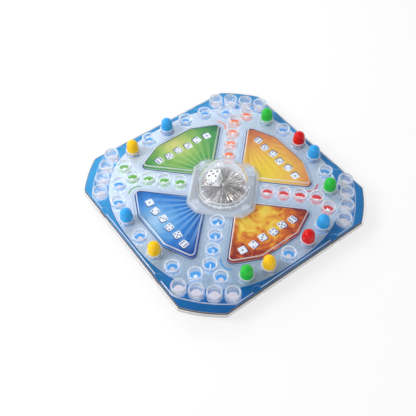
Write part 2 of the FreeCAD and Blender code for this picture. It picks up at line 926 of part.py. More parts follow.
def make_screw():
    """One self-tapping screw with a flat head and a cross recess, pointing up."""
    body = new_body("screw_form")
    head = size("screw_head_radius")
    shank = size("screw_shank_radius")
    rise = size("screw_head_height")
    tip = rise + size("screw_length")
    section = Drawing(body, "screw_section", role="XZ_Plane")
    section.polygon(
        [
            (ZERO, ZERO),
            (head, ZERO),
            (head, rise),
            (shank, rise),
            (shank, tip - shank),
            (ZERO, tip),
        ]
    )
    revolve(body, "screw", section.sketch)
    slot = Drawing(body, "recess_outline")
    reach = size("recess_reach")
    half = size("recess_half_width")
    slot.polygon(
        [
            (half, reach),
            (half, half),
            (reach, half),
            (reach, -half),
            (half, -half),
            (half, -reach),
            (-half, -reach),
            (-half, -half),
            (-reach, -half),
            (-reach, half),
            (-half, half),
            (-half, reach),
        ]
    )
    pocket(body, "recess", slot.sketch, size("recess_depth"), upward=True)
    place(body, z=size("seat_gap"))
    doc.recompute()
    return body


def make_die():
    """The die: a rounded cube with sunk pips, leaning on the slope of the floor."""
    body = new_body("die")
    side = size("die_side")
    half = side / 2
    square = Drawing(body, "face_outline")
    square.rectangle(-half, half, -half, half)
    pad(body, "cube", square.sketch, side, both_ways=True)
    round_edges(body, "cube_edges", lambda points: True, size("die_round"))
    for role, near_pips, far_pips in DIE_FACES:
        for pips, lift, upward in ((near_pips, half, False), (far_pips, -half, True)):
            name = f"pips_{len(pips)}"
            drawing = Drawing(body, f"{name}_outline", role=role, lift=lift)
            for across, up in pips:
                drawing.circle(
                    size("pip_radius"),
                    x=size("pip_spread") * across if across else ZERO,
                    y=size("pip_spread") * up if up else ZERO,
                )
            pocket(body, name, drawing.sketch, size("pip_depth"), upward=upward)
    bearing = math.radians(size("die_bearing").value)
    slope = math.degrees(math.atan(floor_slope.value))
    outward = FreeCAD.Vector(math.cos(bearing), math.sin(bearing), 0)
    lean = FreeCAD.Rotation(FreeCAD.Vector(-outward.y, outward.x, 0), slope)
    turn = FreeCAD.Rotation(FreeCAD.Vector(0, 0, 1), DIE_TURN_DEGREES)
    body.Placement = FreeCAD.Placement(FreeCAD.Vector(), lean.multiply(turn))
    orbit = size("die_orbit")
    level = floor_apex - floor_slope * (orbit - size("floor_crown_radius"))
    lift = half + size("seat_gap")
    tilt = math.radians(slope)
    reach = orbit + lift * math.sin(tilt)
    place(
        body,
        x=reach * math.cos(bearing),
        y=reach * math.sin(bearing),
        z=level + lift * math.cos(tilt),
    )
    doc.recompute()
    return body


def make_peg(label, spot):
    """One peg: a bullet-shaped cap that sits on a cup's rim, and a hollow stem inside the cup."""
    body = new_body(label)
    cap_radius = cup_rim_radius - size("cap_margin")
    shoulder = cap_radius - size("cap_taper")
    bore = stem_radius - size("peg_wall")
    foot = -size("stem_length")
    bore_top = foot + size("peg_bore_depth")
    section = Drawing(body, f"{label}_section", role="XZ_Plane")
    section.dome_profile(
        size("cap_height") - shoulder,
        shoulder,
        [
            (ZERO, bore_top),
            (bore, bore_top),
            (bore, foot),
            (stem_radius - size("stem_taper"), foot),
            (stem_radius, ZERO),
            (cap_radius, ZERO),
        ],
    )
    revolve(body, f"{label}_form", section.sketch)
    x, y = spot
    place(body, x, y, platform_top + size("cup_height"))
    return body


def check_and_write(nodes):
    """Stops the build if anything failed, then writes one STEP file for each sub-part."""
    doc.recompute()
    for thing in doc.Objects:
        if "Invalid" in thing.State or "Error" in thing.State:
            raise RuntimeError(f"{thing.Label} is in state {thing.State}")
    for node in nodes:
        if node.Shape.isNull() or not node.Shape.isValid():
            raise RuntimeError(f"{node.Label} has no valid shape")
    os.makedirs("parts", exist_ok=True)
    for node in nodes:
        node.Shape.exportStep(f"parts/{node.Label}.step")
        print(f"{node.Label}: {len(node.Shape.Solids)} solids, {node.Shape.Volume:.0f} mm3")


track = track_spots()
low_cup = make_cup("cup_form", size("cup_height"))
start_cup = make_cup("start_cup_form", size("start_cup_height"))
screw = make_screw()
doc.recompute()

nodes = [
    make_tray(),
    make_card(),
    make_board(),
    grouped("track_peg_cups", low_cup, [spot for side in track for spot in side]),
    grouped("finish_peg_cups", low_cup, finish_spots()),
    grouped("start_peg_cups", start_cup, start_spots()),
    make_housing(),
    make_dome(),
    make_dice_floor(),
    make_strip(),
    grouped("popper_screws", screw, post_spots()),
    make_die(),
]
for letter, colour in PEG_LETTERS.items():
    taken = [
        track[side][cup]
        for side, row in enumerate(PEG_ROWS)
        for cup, mark in enumerate(row)
        if mark == letter
    ]
    for number, spot in enumerate(taken, start=1):
        nodes.append(make_peg(f"{colour}_{number}", spot))
check_and_write(nodes)
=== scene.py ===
"""Looks of a pop up dice board game: a clear moulded board over a printed card, peg cups, pegs and
a clear dome with a die. Lengths are millimetres until a mesh is made, which is in metres."""

import math

import bpy
import numpy as np
from mathutils import Matrix, Vector


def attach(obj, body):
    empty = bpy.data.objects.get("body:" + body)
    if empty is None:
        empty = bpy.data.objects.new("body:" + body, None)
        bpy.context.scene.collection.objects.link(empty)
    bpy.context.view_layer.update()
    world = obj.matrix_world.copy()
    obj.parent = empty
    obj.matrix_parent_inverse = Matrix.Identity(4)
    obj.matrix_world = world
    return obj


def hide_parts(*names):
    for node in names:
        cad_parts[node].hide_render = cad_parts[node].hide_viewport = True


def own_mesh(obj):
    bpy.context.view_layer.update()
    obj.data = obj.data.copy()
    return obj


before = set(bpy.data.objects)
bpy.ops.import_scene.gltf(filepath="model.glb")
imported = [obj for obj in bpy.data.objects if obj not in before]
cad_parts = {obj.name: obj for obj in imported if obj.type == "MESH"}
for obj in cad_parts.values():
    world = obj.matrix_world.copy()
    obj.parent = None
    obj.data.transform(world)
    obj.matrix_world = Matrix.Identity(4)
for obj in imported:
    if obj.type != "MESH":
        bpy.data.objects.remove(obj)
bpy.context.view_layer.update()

MM = 0.001
QUARTERS = 4

# Levels
CARD_TOP = 14.0
PLATE_BOTTOM = 14.1
PLATE_TOP = 15.1
PLATFORM_TOP = 15.8
WINDOW_TOP = 18.3
SKIRT_BOTTOM = 10.3
LOW_RIM = 20.5
HIGH_RIM = 22.0
INK_STEP = 0.015
PRINT_BOTTOM = CARD_TOP - 0.02
SMOOTH_ANGLE = 35.0

# Outlines: half the side of a square and the radius that cuts its corners
BOARD = (110.0, 135.8)
PLATFORM = (106.2, 125.8)
SKIRT_WALL = 1.8
SHAFT_RADIUS = 27.3
NOTCH_RADIUS = 4.3
NOTCH_PLACE = 45.0
SLOT_SIDE = (107.9, 110.3)
SLOT_HALF = 4.3
SLOT_LEVELS = (11.0, 12.6)
FIELD_HALF = 103.9
FIELD_POWER = 2.5

# Places of the cups
TRACK_ROW = [
    (-63.0, -78.9), (-44.6, -90.8), (-22.8, -94.8), (0.0, -95.5),
    (22.8, -94.8), (44.6, -90.8), (63.0, -78.9),
]
FINISH_FIRST = 42.3
PITCH = 15.6
FINISH_ROW = [(FINISH_FIRST + PITCH * i, 0) for i in range(4)]
START_ROW = [(115.3, -1.5 * PITCH), (117.0, -0.5 * PITCH), (117.0, 0.5 * PITCH), (115.3, 1.5 * PITCH)]
POST_REACH = 33.4
PEG_PLACES = {
    "peg_blue": [(0, 3), (1, 6), (2, 3), (3, 4)],
    "peg_yellow": [(0, 5), (1, 3), (3, 6)],
    "peg_green": [(1, 2), (2, 1), (2, 6)],
    "peg_red": [(1, 5), (2, 4)],
}

# Window over each panel, facing -Y
WINDOW = [
    (-21.0, -84.0), (21.0, -84.0), (50.2, -70.0), (13.3, -33.1),
    (7.0, -39.4), (-7.0, -39.4), (-13.3, -33.1), (-50.2, -70.0),
]
WINDOW_ROUNDS = np.array([5.0, 5.0, 5.0, 0.6, 0.6, 0.6, 0.6, 5.0])
OUTER_SIDES = np.array([1.0, 1.0, 1.0, 0.0, 0.0, 0.0, 1.0, 1.0])


# Shapes

def turned(points, quarter):
    """Points turned by that many right angles about Z: (x, y) becomes (-y, x) once for each."""
    points = np.asarray(points, float).copy()
    for _ in range(quarter):
        points[..., 0], points[..., 1] = -points[..., 1], points[..., 0].copy()
    return points


def along_arm(reach, across):
    """A place beside the arm to the +X -Y corner: reach along it and across it."""
    return ((reach + across) * math.sqrt(0.5), (across - reach) * math.sqrt(0.5))


def grid_faces(rows, columns, close_rows=False):
    """Quads of a grid whose columns close on themselves, and its rows too where asked."""
    row = np.arange(rows if close_rows else rows - 1)[:, None]
    column = np.arange(columns)[None, :]
    after = (row + 1) % rows
    beside = (column + 1) % columns
    quads = np.stack(
        [row * columns + column, row * columns + beside, after * columns + beside, after * columns + column],
        axis=-1,
    )
    return quads.reshape(-1, 4).tolist()


def solid(loops):
    """A closed shape from loops stacked bottom to top: quads between them and a flat cap at each end."""
    loops = np.asarray(loops, float)
    rows, columns = loops.shape[:2]
    faces = grid_faces(rows, columns)
    faces.append(list(range(columns))[::-1])
    faces.append(list(range((rows - 1) * columns, rows * columns)))
    return loops.reshape(-1, 3), faces


def ring_solid(loops):
    """A closed ring: quads between loops, whose last loop joins the first again."""
    loops = np.asarray(loops, float)
    return loops.reshape(-1, 3), grid_faces(*loops.shape[:2], close_rows=True)


def revolved(profile, around, centre=(0.0, 0.0)):
    """A profile of (radius, height) turned about Z. It closes on itself, or ends in a pole where
    its ends are on the axis. Point = (centre + radius (cos a, sin a), height)."""
    profile = np.asarray(profile, float)
    poles = abs(profile[0, 0]) < 1e-6
    body = profile[1:-1] if poles else profile
    angle = np.arange(around) * 2 * math.pi / around
    points = np.stack(
        [
            centre[0] + body[:, :1] * np.cos(angle),
            centre[1] + body[:, :1] * np.sin(angle),
            np.repeat(body[:, 1:], around, axis=1),
        ],
        axis=-1,
    )
    rows = len(body)
    if not poles:
        return points.reshape(-1, 3), grid_faces(rows, around, close_rows=True)
    faces = grid_faces(rows, around)
    first, last = rows * around, rows * around + 1
    for i in range(around):
        following = (i + 1) % around
        faces.append([first, following, i])
        faces.append([last, (rows - 1) * around + i, (rows - 1) * around + following])
    ends = [(*centre, profile[0, 1]), (*centre, profile[-1, 1])]
    return np.vstack([points.reshape(-1, 3), ends]), faces


def rounded(corners, radii, steps=5, closed=True):
    """An outline whose corners are replaced by arcs. Each arc touches both sides at the distance
    radius * tan(half the turn) from its corner."""
    corners = np.asarray(corners, float)
    count = len(corners)
    radii = np.broadcast_to(radii, count)
    points = []
    for i in range(count):
        here = corners[i]
        if radii[i] <= 0 or (not closed and i in (0, count - 1)):
            points.append(here)
            continue
        back, ahead = corners[i - 1] - here, corners[(i + 1) % count] - here
        back_length, ahead_length = np.linalg.norm(back), np.linalg.norm(ahead)
        back, ahead = back / back_length, ahead / ahead_length
        half = math.acos(float(np.clip(back @ ahead, -1, 1))) / 2
        run = min(radii[i] / math.tan(half), 0.49 * back_length, 0.49 * ahead_length)
        radius = run * math.tan(half)
        middle = here + (back + ahead) / np.linalg.norm(back + ahead) * radius / math.sin(half)
        start, end = here + back * run - middle, here + ahead * run - middle
        turn = math.pi - 2 * half
        share = np.linspace(0, 1, steps + 1)[:, None]
        arc = (np.sin((1 - share) * turn) * start + np.sin(share * turn) * end) / math.sin(turn)
        points.extend(middle + arc)
    return np.array(points)


def inset_polygon(corners, distance):
    """An outline moved inwards, side by side, by one distance or by one for each side."""
    corners = np.asarray(corners, float)
    sides = np.roll(corners, -1, axis=0) - corners
    sides /= np.linalg.norm(sides, axis=1)[:, None]
    inward = np.stack([-sides[:, 1], sides[:, 0]], axis=1)
    moved = corners + inward * np.broadcast_to(distance, len(corners))[:, None]
    result = []
    for i in range(len(corners)):
        a, u = moved[i - 1], sides[i - 1]
        b, v = moved[i], sides[i]
        step = ((b - a)[0] * v[1] - (b - a)[1] * v[0]) / (u[0] * v[1] - u[1] * v[0])
        result.append(a + u * step)
    return np.array(result)


def window_outline(inset, rounds=WINDOW_ROUNDS, steps=8):
    """The window's outline moved inwards, by one distance for each side, with rounded corners."""
    return rounded(inset_polygon(WINDOW, inset), rounds, steps)


def at_level(loop, z):
    loop = np.asarray(loop, float)
    return np.column_stack([loop[:, :2], np.full(len(loop), float(z))])


def prism(outline, low, high):
    """An upright closed shape between two levels."""
    return solid([at_level(outline, low), at_level(outline, high)])


def ink_level(layer):
    return CARD_TOP + INK_STEP * layer


def slab(outline, layer):
    """A thin printed shape from inside the card up to its layer of ink."""
    return prism(outline, PRINT_BOTTOM, ink_level(layer))


def band_corners(inner, outer, layer):
    """The four corners of a printed band's section: its side and level, from the inner foot round."""
    top = ink_level(layer)
    return [(inner, PRINT_BOTTOM), (outer, PRINT_BOTTOM), (outer, top), (inner, top)]


def flat_ring(inner, outer, layer):
    """A printed band between two outlines."""
    return ring_solid([at_level(outline, z) for outline, z in band_corners(inner, outer, layer)])


def printed_ring(outer, inner, layer, centre):
    return revolved(band_corners(inner, outer, layer), 64, centre)


def disc(radius, centre, around=40):
    angle = np.arange(around) * 2 * math.pi / around
    return np.column_stack([centre[0] + radius * np.cos(angle), centre[1] + radius * np.sin(angle)])


def board_angles():
    """Angles round the board, closer together where the outlines bend."""
    base = np.radians(np.linspace(-45, 45, 64, endpoint=False))
    bends = [math.acos(half / corner) for half, corner in (BOARD, PLATFORM)]
    close = [sign * bend + np.linspace(-0.02, 0.02, 11) for bend in bends for sign in (-1, 1)]
    quarter = np.unique(np.concatenate([base, *close]))
    return np.concatenate([quarter + q * math.pi / 2 for q in range(QUARTERS)])


ANGLES = board_angles()


def cut_square(half, corner, bend=400.0):
    """Radius of a square cut by a circle, at each angle: the soft minimum of half / |cos a|,
    half / |sin a| and the corner radius, where bend sets how tight the bends are."""
    sides = np.stack(
        [
            half / np.maximum(np.abs(np.cos(ANGLES)), 1e-3),
            half / np.maximum(np.abs(np.sin(ANGLES)), 1e-3),
            np.full_like(ANGLES, corner),
        ]
    )
    least = sides.min(0)
    share = np.exp(-bend * (np.log(sides) - np.log(least))).sum(0)
    return least * share ** (-1 / bend)


def polar_loop(radius, z):
    """Points at that radius for each of the board's angles, at one height."""
    radius = np.broadcast_to(radius, ANGLES.shape)
    return np.column_stack([radius * np.cos(ANGLES), radius * np.sin(ANGLES), np.full_like(ANGLES, z)])


def gathered(parts):
    """Several closed shapes in one mesh."""
    points, faces, start = [], [], 0
    for part_points, part_faces in parts:
        points.append(part_points)
        faces.extend([[i + start for i in face] for face in part_faces])
        start += len(part_points)
    return np.vstack(points), faces


def piece(name, shape, finish, body, replaces=(), smooth_angle=SMOOTH_ANGLE):
    """A mesh object in metres with its finish, its body and the nodes that it stands for."""
    points, faces = shape
    mesh = bpy.data.meshes.new(name)
    mesh.from_pydata((np.asarray(points) * MM).tolist(), [], faces)
    mesh.update()
    mesh.shade_smooth()
    mesh.set_sharp_from_angle(angle=math.radians(smooth_angle))
    mesh.materials.append(finish)
    thing = bpy.data.objects.new(name, mesh)
    bpy.context.scene.collection.objects.link(thing)
    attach(thing, body)
    if replaces:
        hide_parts(*replaces)
    return thing


# Finishes

def srgb(red, green, blue):
    """A colour as a screen shows it, 0 to 255, in Blender's linear values."""
    parts = [c / 255 for c in (red, green, blue)]
    linear = [c / 12.92 if c <= 0.04045 else ((c + 0.055) / 1.055) ** 2.4 for c in parts]
    return (*linear, 1.0)


def new_finish(name):
    finish = bpy.data.materials.new(name)
    finish.use_nodes = True
    finish.node_tree.nodes.clear()
    return finish, finish.node_tree


def add(tree, kind, settings=None, **inputs):
    """Adds a node. An input is a socket to link or a value to set."""
    node = tree.nodes.new("ShaderNode" + kind)
    for key, value in (settings or {}).items():
        setattr(node, key, value)
    for key, value in inputs.items():
        numbered = key[0] == "i" and key[1:].isdigit()
        socket = node.inputs[int(key[1:]) if numbered else key.replace("_", " ")]
        if isinstance(value, bpy.types.NodeSocket):
            tree.links.new(value, socket)
        else:
            socket.default_value = value
    return node


def math_node(tree, operation, *values, clamp=False):
    inputs = {f"i{i}": value for i, value in enumerate(values)}
    return add(tree, "Math", {"operation": operation, "use_clamp": clamp}, **inputs).outputs[0]


def blend_colour(tree, factor, first, second, mode="MIX"):
    node = add(tree, "Mix", {"data_type": "RGBA", "blend_type": mode}, i0=factor, i6=first, i7=second)
    return node.outputs[2]


def ramp(tree, factor, stops):
    node = add(tree, "ValToRGB", i0=factor)
    points = node.color_ramp.elements
    while len(points) < len(stops):
        points.new(0.5)
    for point, (place, colour) in zip(points, stops):
        point.position = place
        point.color = colour
    return node.outputs["Color"]


def millimetres(tree, quarter=0):
    """Object coordinates in millimetres, turned so that the given quarter faces -Y."""
    place = add(tree, "TexCoord").outputs["Object"]
    turn = (0.0, 0.0, -quarter * math.pi / 2)
    return add(tree, "Mapping", Vector=place, Rotation=turn, Scale=(1000.0,) * 3).outputs[0]


def noise(tree, place, size, detail=3.0, distortion=0.0):
    node = add(tree, "TexNoise", Vector=place, Scale=1.0 / size, Detail=detail, Distortion=distortion)
    return node.outputs["Fac"]


def bumped(tree, height, depth, **inputs):
    """A normal from a height, where depth in millimetres is the relief's size."""
    return add(tree, "Bump", Height=height, Distance=depth * MM, Strength=1.0, **inputs).outputs[0]


def finished(tree, surface):
    add(tree, "OutputMaterial", Surface=surface)


def plastic(
    name, colour, roughness=0.28, grain=0.0, grain_size=0.5, vary=0.04, coat=0.0, soft=0.0, gloss=0.5,
    flat=False,
):
    """Moulded plastic: a colour with faint uneven shade, fine grain and a little unevenness in gloss.
    A flat one is lit by its faces' true normals."""
    finish, tree = new_finish(name)
    place = millimetres(tree)
    shade = noise(tree, place, 9.0, 2.0)
    light = tuple(min(1.0, c * (1 + vary)) for c in colour[:3]) + (1.0,)
    dark = tuple(c * (1 - vary) for c in colour[:3]) + (1.0,)
    surface_colour = blend_colour(tree, shade, dark, light)
    uneven = add(tree, "MapRange", i0=noise(tree, place, 3.0), i3=roughness * 0.85, i4=roughness * 1.2)
    faces = {"Normal": add(tree, "NewGeometry").outputs["True Normal"]} if flat else {}
    normal = bumped(tree, noise(tree, place, grain_size, 4.0), max(grain, 0.002), **faces)
    shader = add(
        tree, "BsdfPrincipled", Base_Color=surface_colour, Roughness=uneven.outputs[0], Normal=normal,
        Coat_Weight=coat, Coat_Roughness=0.08, Subsurface_Weight=soft, Subsurface_Scale=0.002,
        Specular_IOR_Level=gloss,
    )
    finished(tree, shader.outputs[0])
    return finish


def printed(tree, colour, roughness=0.3, gloss=0.15):
    """Ends a tree in the low gloss of print."""
    shader = add(tree, "BsdfPrincipled", Base_Color=colour, Roughness=roughness, Specular_IOR_Level=gloss)
    finished(tree, shader.outputs[0])


def ink(name, colour):
    """Printing ink on coated card: a colour with a very fine screen of lighter dots."""
    finish, tree = new_finish(name)
    place = millimetres(tree)
    speck = noise(tree, place, 0.45, 2.0)
    light = tuple(min(1.0, c * 1.12 + 0.004) for c in colour[:3]) + (1.0,)
    dark = tuple(c * 0.9 for c in colour[:3]) + (1.0,)
    printed(tree, blend_colour(tree, speck, dark, light), 0.35)
    return finish


def steepness(tree):
    """0 on level faces and 1 on upright ones, from the surface's own normal."""
    normal = add(tree, "NewGeometry").outputs["Normal"]
    upward = add(tree, "SeparateXYZ", Vector=normal).outputs["Z"]
    return math_node(tree, "SUBTRACT", 1.0, math_node(tree, "ABSOLUTE", upward))


def outer_side(tree):
    """1 on faces seen from outside the plastic and 0 on those seen from within it."""
    return math_node(tree, "SUBTRACT", 1.0, add(tree, "NewGeometry").outputs["Backfacing"])


def outer_gloss(tree, normal):
    """How much a face reflects, by angle. The inner side of a sheet adds nothing."""
    gloss = add(tree, "Fresnel", IOR=1.35, Normal=normal).outputs[0]
    return math_node(tree, "MULTIPLY", gloss, outer_side(tree))


def soft_step(tree, value, start, end):
    return add(tree, "MapRange", {"interpolation_type": "SMOOTHSTEP"}, i0=value, i1=start, i2=end).outputs[0]


def bevel_bands(tree, height, bands, fade=0.12):
    """The strength of a band where the height lies inside it, fading at its ends: the bevels
    between level faces."""
    total = 0.0
    for low, high, strength in bands:
        rising = soft_step(tree, height, low, low + fade)
        falling = soft_step(tree, height, high, high - fade)
        inside = math_node(tree, "MULTIPLY", rising, falling)
        total = math_node(tree, "MULTIPLY_ADD", inside, strength, total)
    return total


def clear_sheet(
    name, tint, haze, side_haze, bands=(), side_top=99.0, roughness=0.08, wave=0.02,
    haze_and_highlight_colour=(0.9, 0.94, 1.0, 1.0), shaded_side_colour=None,
):
    """Clear plastic sheet: see-through, with gloss by angle and a little milky scattered light, more of it
    on upright sides below a height. Bands given for the bevels are milky white there, painted highlights,
    and where a shaded side colour is given the milky part takes it below the card's top, which is painted
    shade."""
    finish, tree = new_finish(name)
    place = millimetres(tree)
    height = add(tree, "SeparateXYZ", Vector=place).outputs["Z"]
    normal = bumped(tree, noise(tree, place, 6.0, 2.0), wave)
    below = math_node(tree, "LESS_THAN", height, side_top)
    steep = math_node(tree, "MULTIPLY", math_node(tree, "MULTIPLY", steepness(tree), below), side_haze)
    steep = math_node(tree, "MULTIPLY", steep, outer_side(tree))
    cloud = add(tree, "MapRange", i0=noise(tree, place, 1.2, 4.0), i3=haze * 0.6, i4=haze * 1.4).outputs[0]
    milk_and_painted_highlights = math_node(tree, "ADD", cloud, steep, clamp=True)
    if bands:
        milk_and_painted_highlights = math_node(tree, "MAXIMUM", milk_and_painted_highlights, bevel_bands(tree, height, bands))
    through = add(tree, "BsdfTransparent", Color=tint)
    # Painted shade and highlight: below the card's top the milky colour is the shaded side colour, above it
    # the pale one
    if shaded_side_colour:
        edge = bevel_bands(tree, height, [(PLATE_TOP - 1.1, 99.0, 1.0)])
        haze_and_highlight_colour = blend_colour(tree, edge, shaded_side_colour, haze_and_highlight_colour)
    scattered = add(tree, "BsdfPrincipled", Base_Color=haze_and_highlight_colour, Roughness=0.35)
    body = add(tree, "MixShader", i0=milk_and_painted_highlights, i1=through.outputs[0], i2=scattered.outputs[0])
    shine = add(tree, "BsdfGlossy", Color=(1, 1, 1, 1), Roughness=roughness, Normal=normal)
    mixed = add(tree, "MixShader", i0=outer_gloss(tree, normal), i1=body.outputs[0], i2=shine.outputs[0])
    finished(tree, mixed.outputs[0])
    return finish


def clear_solid(name, colour, roughness=0.03, haze=0.06, wave=0.01, bands=(), straight=0.0):
    """Thick clear plastic: light bends through it, apart from a straight share, its shadow is let
    through, and bands of it are milky white, partly frosting and partly painted highlight."""
    finish, tree = new_finish(name)
    place = millimetres(tree)
    if bands:
        height = add(tree, "SeparateXYZ", Vector=place).outputs["Z"]
        haze = math_node(tree, "ADD", bevel_bands(tree, height, bands), haze)
    normal = bumped(tree, noise(tree, place, 4.0, 2.0), wave)
    glass = add(
        tree, "BsdfPrincipled", Base_Color=colour, Roughness=roughness, IOR=1.49,
        Transmission_Weight=1.0, Normal=normal,
    )
    milk = add(tree, "BsdfPrincipled", Base_Color=(0.86, 0.87, 0.88, 1.0), Roughness=0.3)
    let_through = add(tree, "BsdfTransparent", Color=(0.93, 0.95, 0.98, 1.0))
    clear = add(tree, "MixShader", i0=straight, i1=glass.outputs[0], i2=let_through.outputs[0])
    # Haze and bands turn the plastic milky white; on rims and necks that is partly painted highlight
    body = add(tree, "MixShader", i0=haze, i1=clear.outputs[0], i2=milk.outputs[0])
    shadow = add(tree, "LightPath").outputs["Is Shadow Ray"]
    mixed = add(tree, "MixShader", i0=shadow, i1=body.outputs[0], i2=let_through.outputs[0])
    finished(tree, mixed.outputs[0])
    return finish


def bare_metal(tree, place, colour, least_rough, most_rough):
    """Ends a tree in metal whose gloss and face are a little uneven."""
    rough = add(tree, "MapRange", i0=noise(tree, place, 2.5), i3=least_rough, i4=most_rough)
    normal = bumped(tree, noise(tree, place, 0.6, 3.0), 0.01)
    shader = add(
        tree, "BsdfPrincipled", Base_Color=colour, Metallic=1.0, Roughness=rough.outputs[0], Normal=normal,
    )
    finished(tree, shader.outputs[0])


def metal(name, colour, roughness):
    finish, tree = new_finish(name)
    bare_metal(tree, millimetres(tree), colour, roughness * 0.6, roughness * 1.4)
    return finish


def streaked_silver(name):
    """Silvered plastic with painted reflections: bright and dark streaks painted into its colour as if its
    pleats caught the light. They run outwards from the middle, from noise that is read on a circle, so they
    are the same all along a ray."""
    finish, tree = new_finish(name)
    place = millimetres(tree)
    level = add(tree, "VectorMath", {"operation": "MULTIPLY"}, i0=place, i1=(1.0, 1.0, 0.0)).outputs[0]
    ray = add(tree, "VectorMath", {"operation": "NORMALIZE"}, i0=level).outputs[0]
    streak = noise(tree, ray, 0.11, 3.0)
    patch = math_node(tree, "MULTIPLY_ADD", noise(tree, place, 7.0, 2.0), 0.35, -0.17)
    shade = math_node(tree, "ADD", streak, patch)
    # Painted reflections: dark grey brown between the streaks and near white on them
    stops = [
        (0.34, srgb(92, 84, 82)), (0.48, srgb(164, 156, 153)), (0.57, srgb(190, 184, 182)),
        (0.64, srgb(250, 248, 246)),
    ]
    bare_metal(tree, place, ramp(tree, shade, stops), 0.08, 0.18)
    return finish


def ray_pattern(tree, across, out, focus, rays):
    """Stripes that fan out from a point: the sine of the angle about it times the number of rays."""
    angle = math_node(
        tree, "ARCTAN2",
        math_node(tree, "SUBTRACT", across, focus[0]), math_node(tree, "SUBTRACT", out, focus[1]),
    )
    wave = math_node(tree, "SINE", math_node(tree, "MULTIPLY", angle, float(rays)))
    return add(tree, "MapRange", {"interpolation_type": "SMOOTHSTEP"}, i0=wave, i1=-0.1, i2=0.6).outputs[0]


def distance_from(tree, across, out, spot, reach):
    """Distance from a spot over a reach, from 0 to 1."""
    dx = math_node(tree, "SUBTRACT", across, spot[0])
    dy = math_node(tree, "SUBTRACT", out, spot[1])
    square = math_node(tree, "ADD", math_node(tree, "MULTIPLY", dx, dx), math_node(tree, "MULTIPLY", dy, dy))
    return math_node(tree, "DIVIDE", math_node(tree, "SQRT", square), reach, clamp=True)


def panel_finish(name, quarter, stops, glow, reach, rays=None, cloud=(11.0, 4.0, 0.6, 0.35)):
    """A printed panel: a glow that fades outwards through the stops, stirred by a cloud of a size,
    detail, twist and depth, with rays where asked."""
    finish, tree = new_finish(name)
    place = millimetres(tree, quarter)
    parts = add(tree, "SeparateXYZ", Vector=place)
    across = parts.outputs["X"]
    out = math_node(tree, "MULTIPLY", parts.outputs["Y"], -1.0)
    fade = distance_from(tree, across, out, glow, reach)
    *pattern, depth = cloud
    drift = math_node(tree, "SUBTRACT", noise(tree, place, *pattern), 0.5)
    fade = math_node(tree, "ADD", fade, math_node(tree, "MULTIPLY", drift, depth))
    colour = ramp(tree, fade, stops)
    if rays:
        focus, count, tint, strength = rays
        stripes = ray_pattern(tree, across, out, focus, count)
        near = distance_from(tree, across, out, focus, 62.0)
        weight = math_node(tree, "MULTIPLY", math_node(tree, "SUBTRACT", 1.0, near), strength)
        colour = blend_colour(tree, math_node(tree, "MULTIPLY", stripes, weight, clamp=True), colour, tint)
    printed(tree, colour)
    return finish


def far_left_share(tree, place):
    """Painted light: 0 at the near right side of the print and 1 at its far left, where its colours are
    painted lighter as if lit from there.
    """
    parts = add(tree, "SeparateXYZ", Vector=place)
    left = math_node(tree, "MULTIPLY", parts.outputs["X"], -0.8)
    left = math_node(tree, "MULTIPLY_ADD", parts.outputs["Y"], -0.1, left)
    return add(tree, "MapRange", i0=left, i1=-85.0, i2=85.0).outputs[0]


def away_from_corner(tree, place):
    """Painted light and shade: 0 at the +X -Y corner of the print, which is painted darkest, and near 1 at
    the -X -Y one,
    which is painted lightest: 0.625 - 0.25 x + 0.05 y + 0.175 x y, with x and y in steps of 70 mm."""
    parts = add(tree, "SeparateXYZ", Vector=place)
    x, y = (math_node(tree, "DIVIDE", parts.outputs[axis], 70.0) for axis in "XY")
    share = math_node(tree, "MULTIPLY_ADD", x, -0.25, 0.625)
    share = math_node(tree, "MULTIPLY_ADD", y, 0.05, share)
    product = math_node(tree, "MULTIPLY", x, y)
    return math_node(tree, "MULTIPLY_ADD", product, 0.175, share, clamp=True)


# Field tones where the painted light is brightest and where the painted shade is deepest
FIELD_LIT_TONES = [(198, 212, 228), (217, 228, 238), (230, 237, 243)]
FIELD_SHADED_TONES = [(106, 132, 156), (130, 154, 174), (156, 176, 194)]
MOTTLE_STEPS = (0.3, 0.55, 0.75)


def frosted_field(name):
    """The pale field of the print: light blue with the fine mottle of the frosted sheet over it, painted
    darker towards the +X -Y corner as shade and lighter towards the -X -Y one as light.
    """
    finish, tree = new_finish(name)
    place = millimetres(tree)
    mottle = noise(tree, place, 1.6, 5.0)
    broad = noise(tree, place, 26.0, 2.0)
    far, near = (
        ramp(tree, mottle, [(step, srgb(*tone)) for step, tone in zip(MOTTLE_STEPS, tones)])
        for tones in (FIELD_LIT_TONES, FIELD_SHADED_TONES)
    )
    # Painted light and shade: the field goes from its shaded tones at the +X -Y corner to its lit ones at
    # the -X -Y corner
    colour = blend_colour(tree, away_from_corner(tree, place), near, far)
    colour = blend_colour(tree, math_node(tree, "MULTIPLY", broad, 0.3), colour, srgb(178, 198, 220))
    printed(tree, colour, 0.45, 0.2)
    return finish


def border_print(name):
    """The deep blue border of the print, a little uneven and painted lighter towards the board's far left
    and darker towards its +X -Y corner as light and shade, and the bare grey board at the card's cut edge."""
    finish, tree = new_finish(name)
    place = millimetres(tree)
    # Painted light and shade: this share takes the blue from a shaded tone to a lit one
    share = math_node(tree, "ADD", far_left_share(tree, place), away_from_corner(tree, place))
    share = math_node(tree, "MULTIPLY", share, 0.5)
    colour = blend_colour(tree, share, srgb(0, 90, 152), srgb(64, 164, 218))
    cloud = noise(tree, place, 14.0, 4.0)
    colour = blend_colour(tree, math_node(tree, "MULTIPLY", cloud, 0.3), colour, srgb(0, 80, 146))
    colour = blend_colour(tree, steepness(tree), colour, srgb(206, 200, 192))
    printed(tree, colour)
    return finish


ARM_COLOURS = {
    "blue": srgb(66, 150, 214), "red": srgb(214, 66, 66), "orange": srgb(236, 118, 70),
    "green": srgb(104, 168, 74),
}
ARMS = list(ARM_COLOURS)

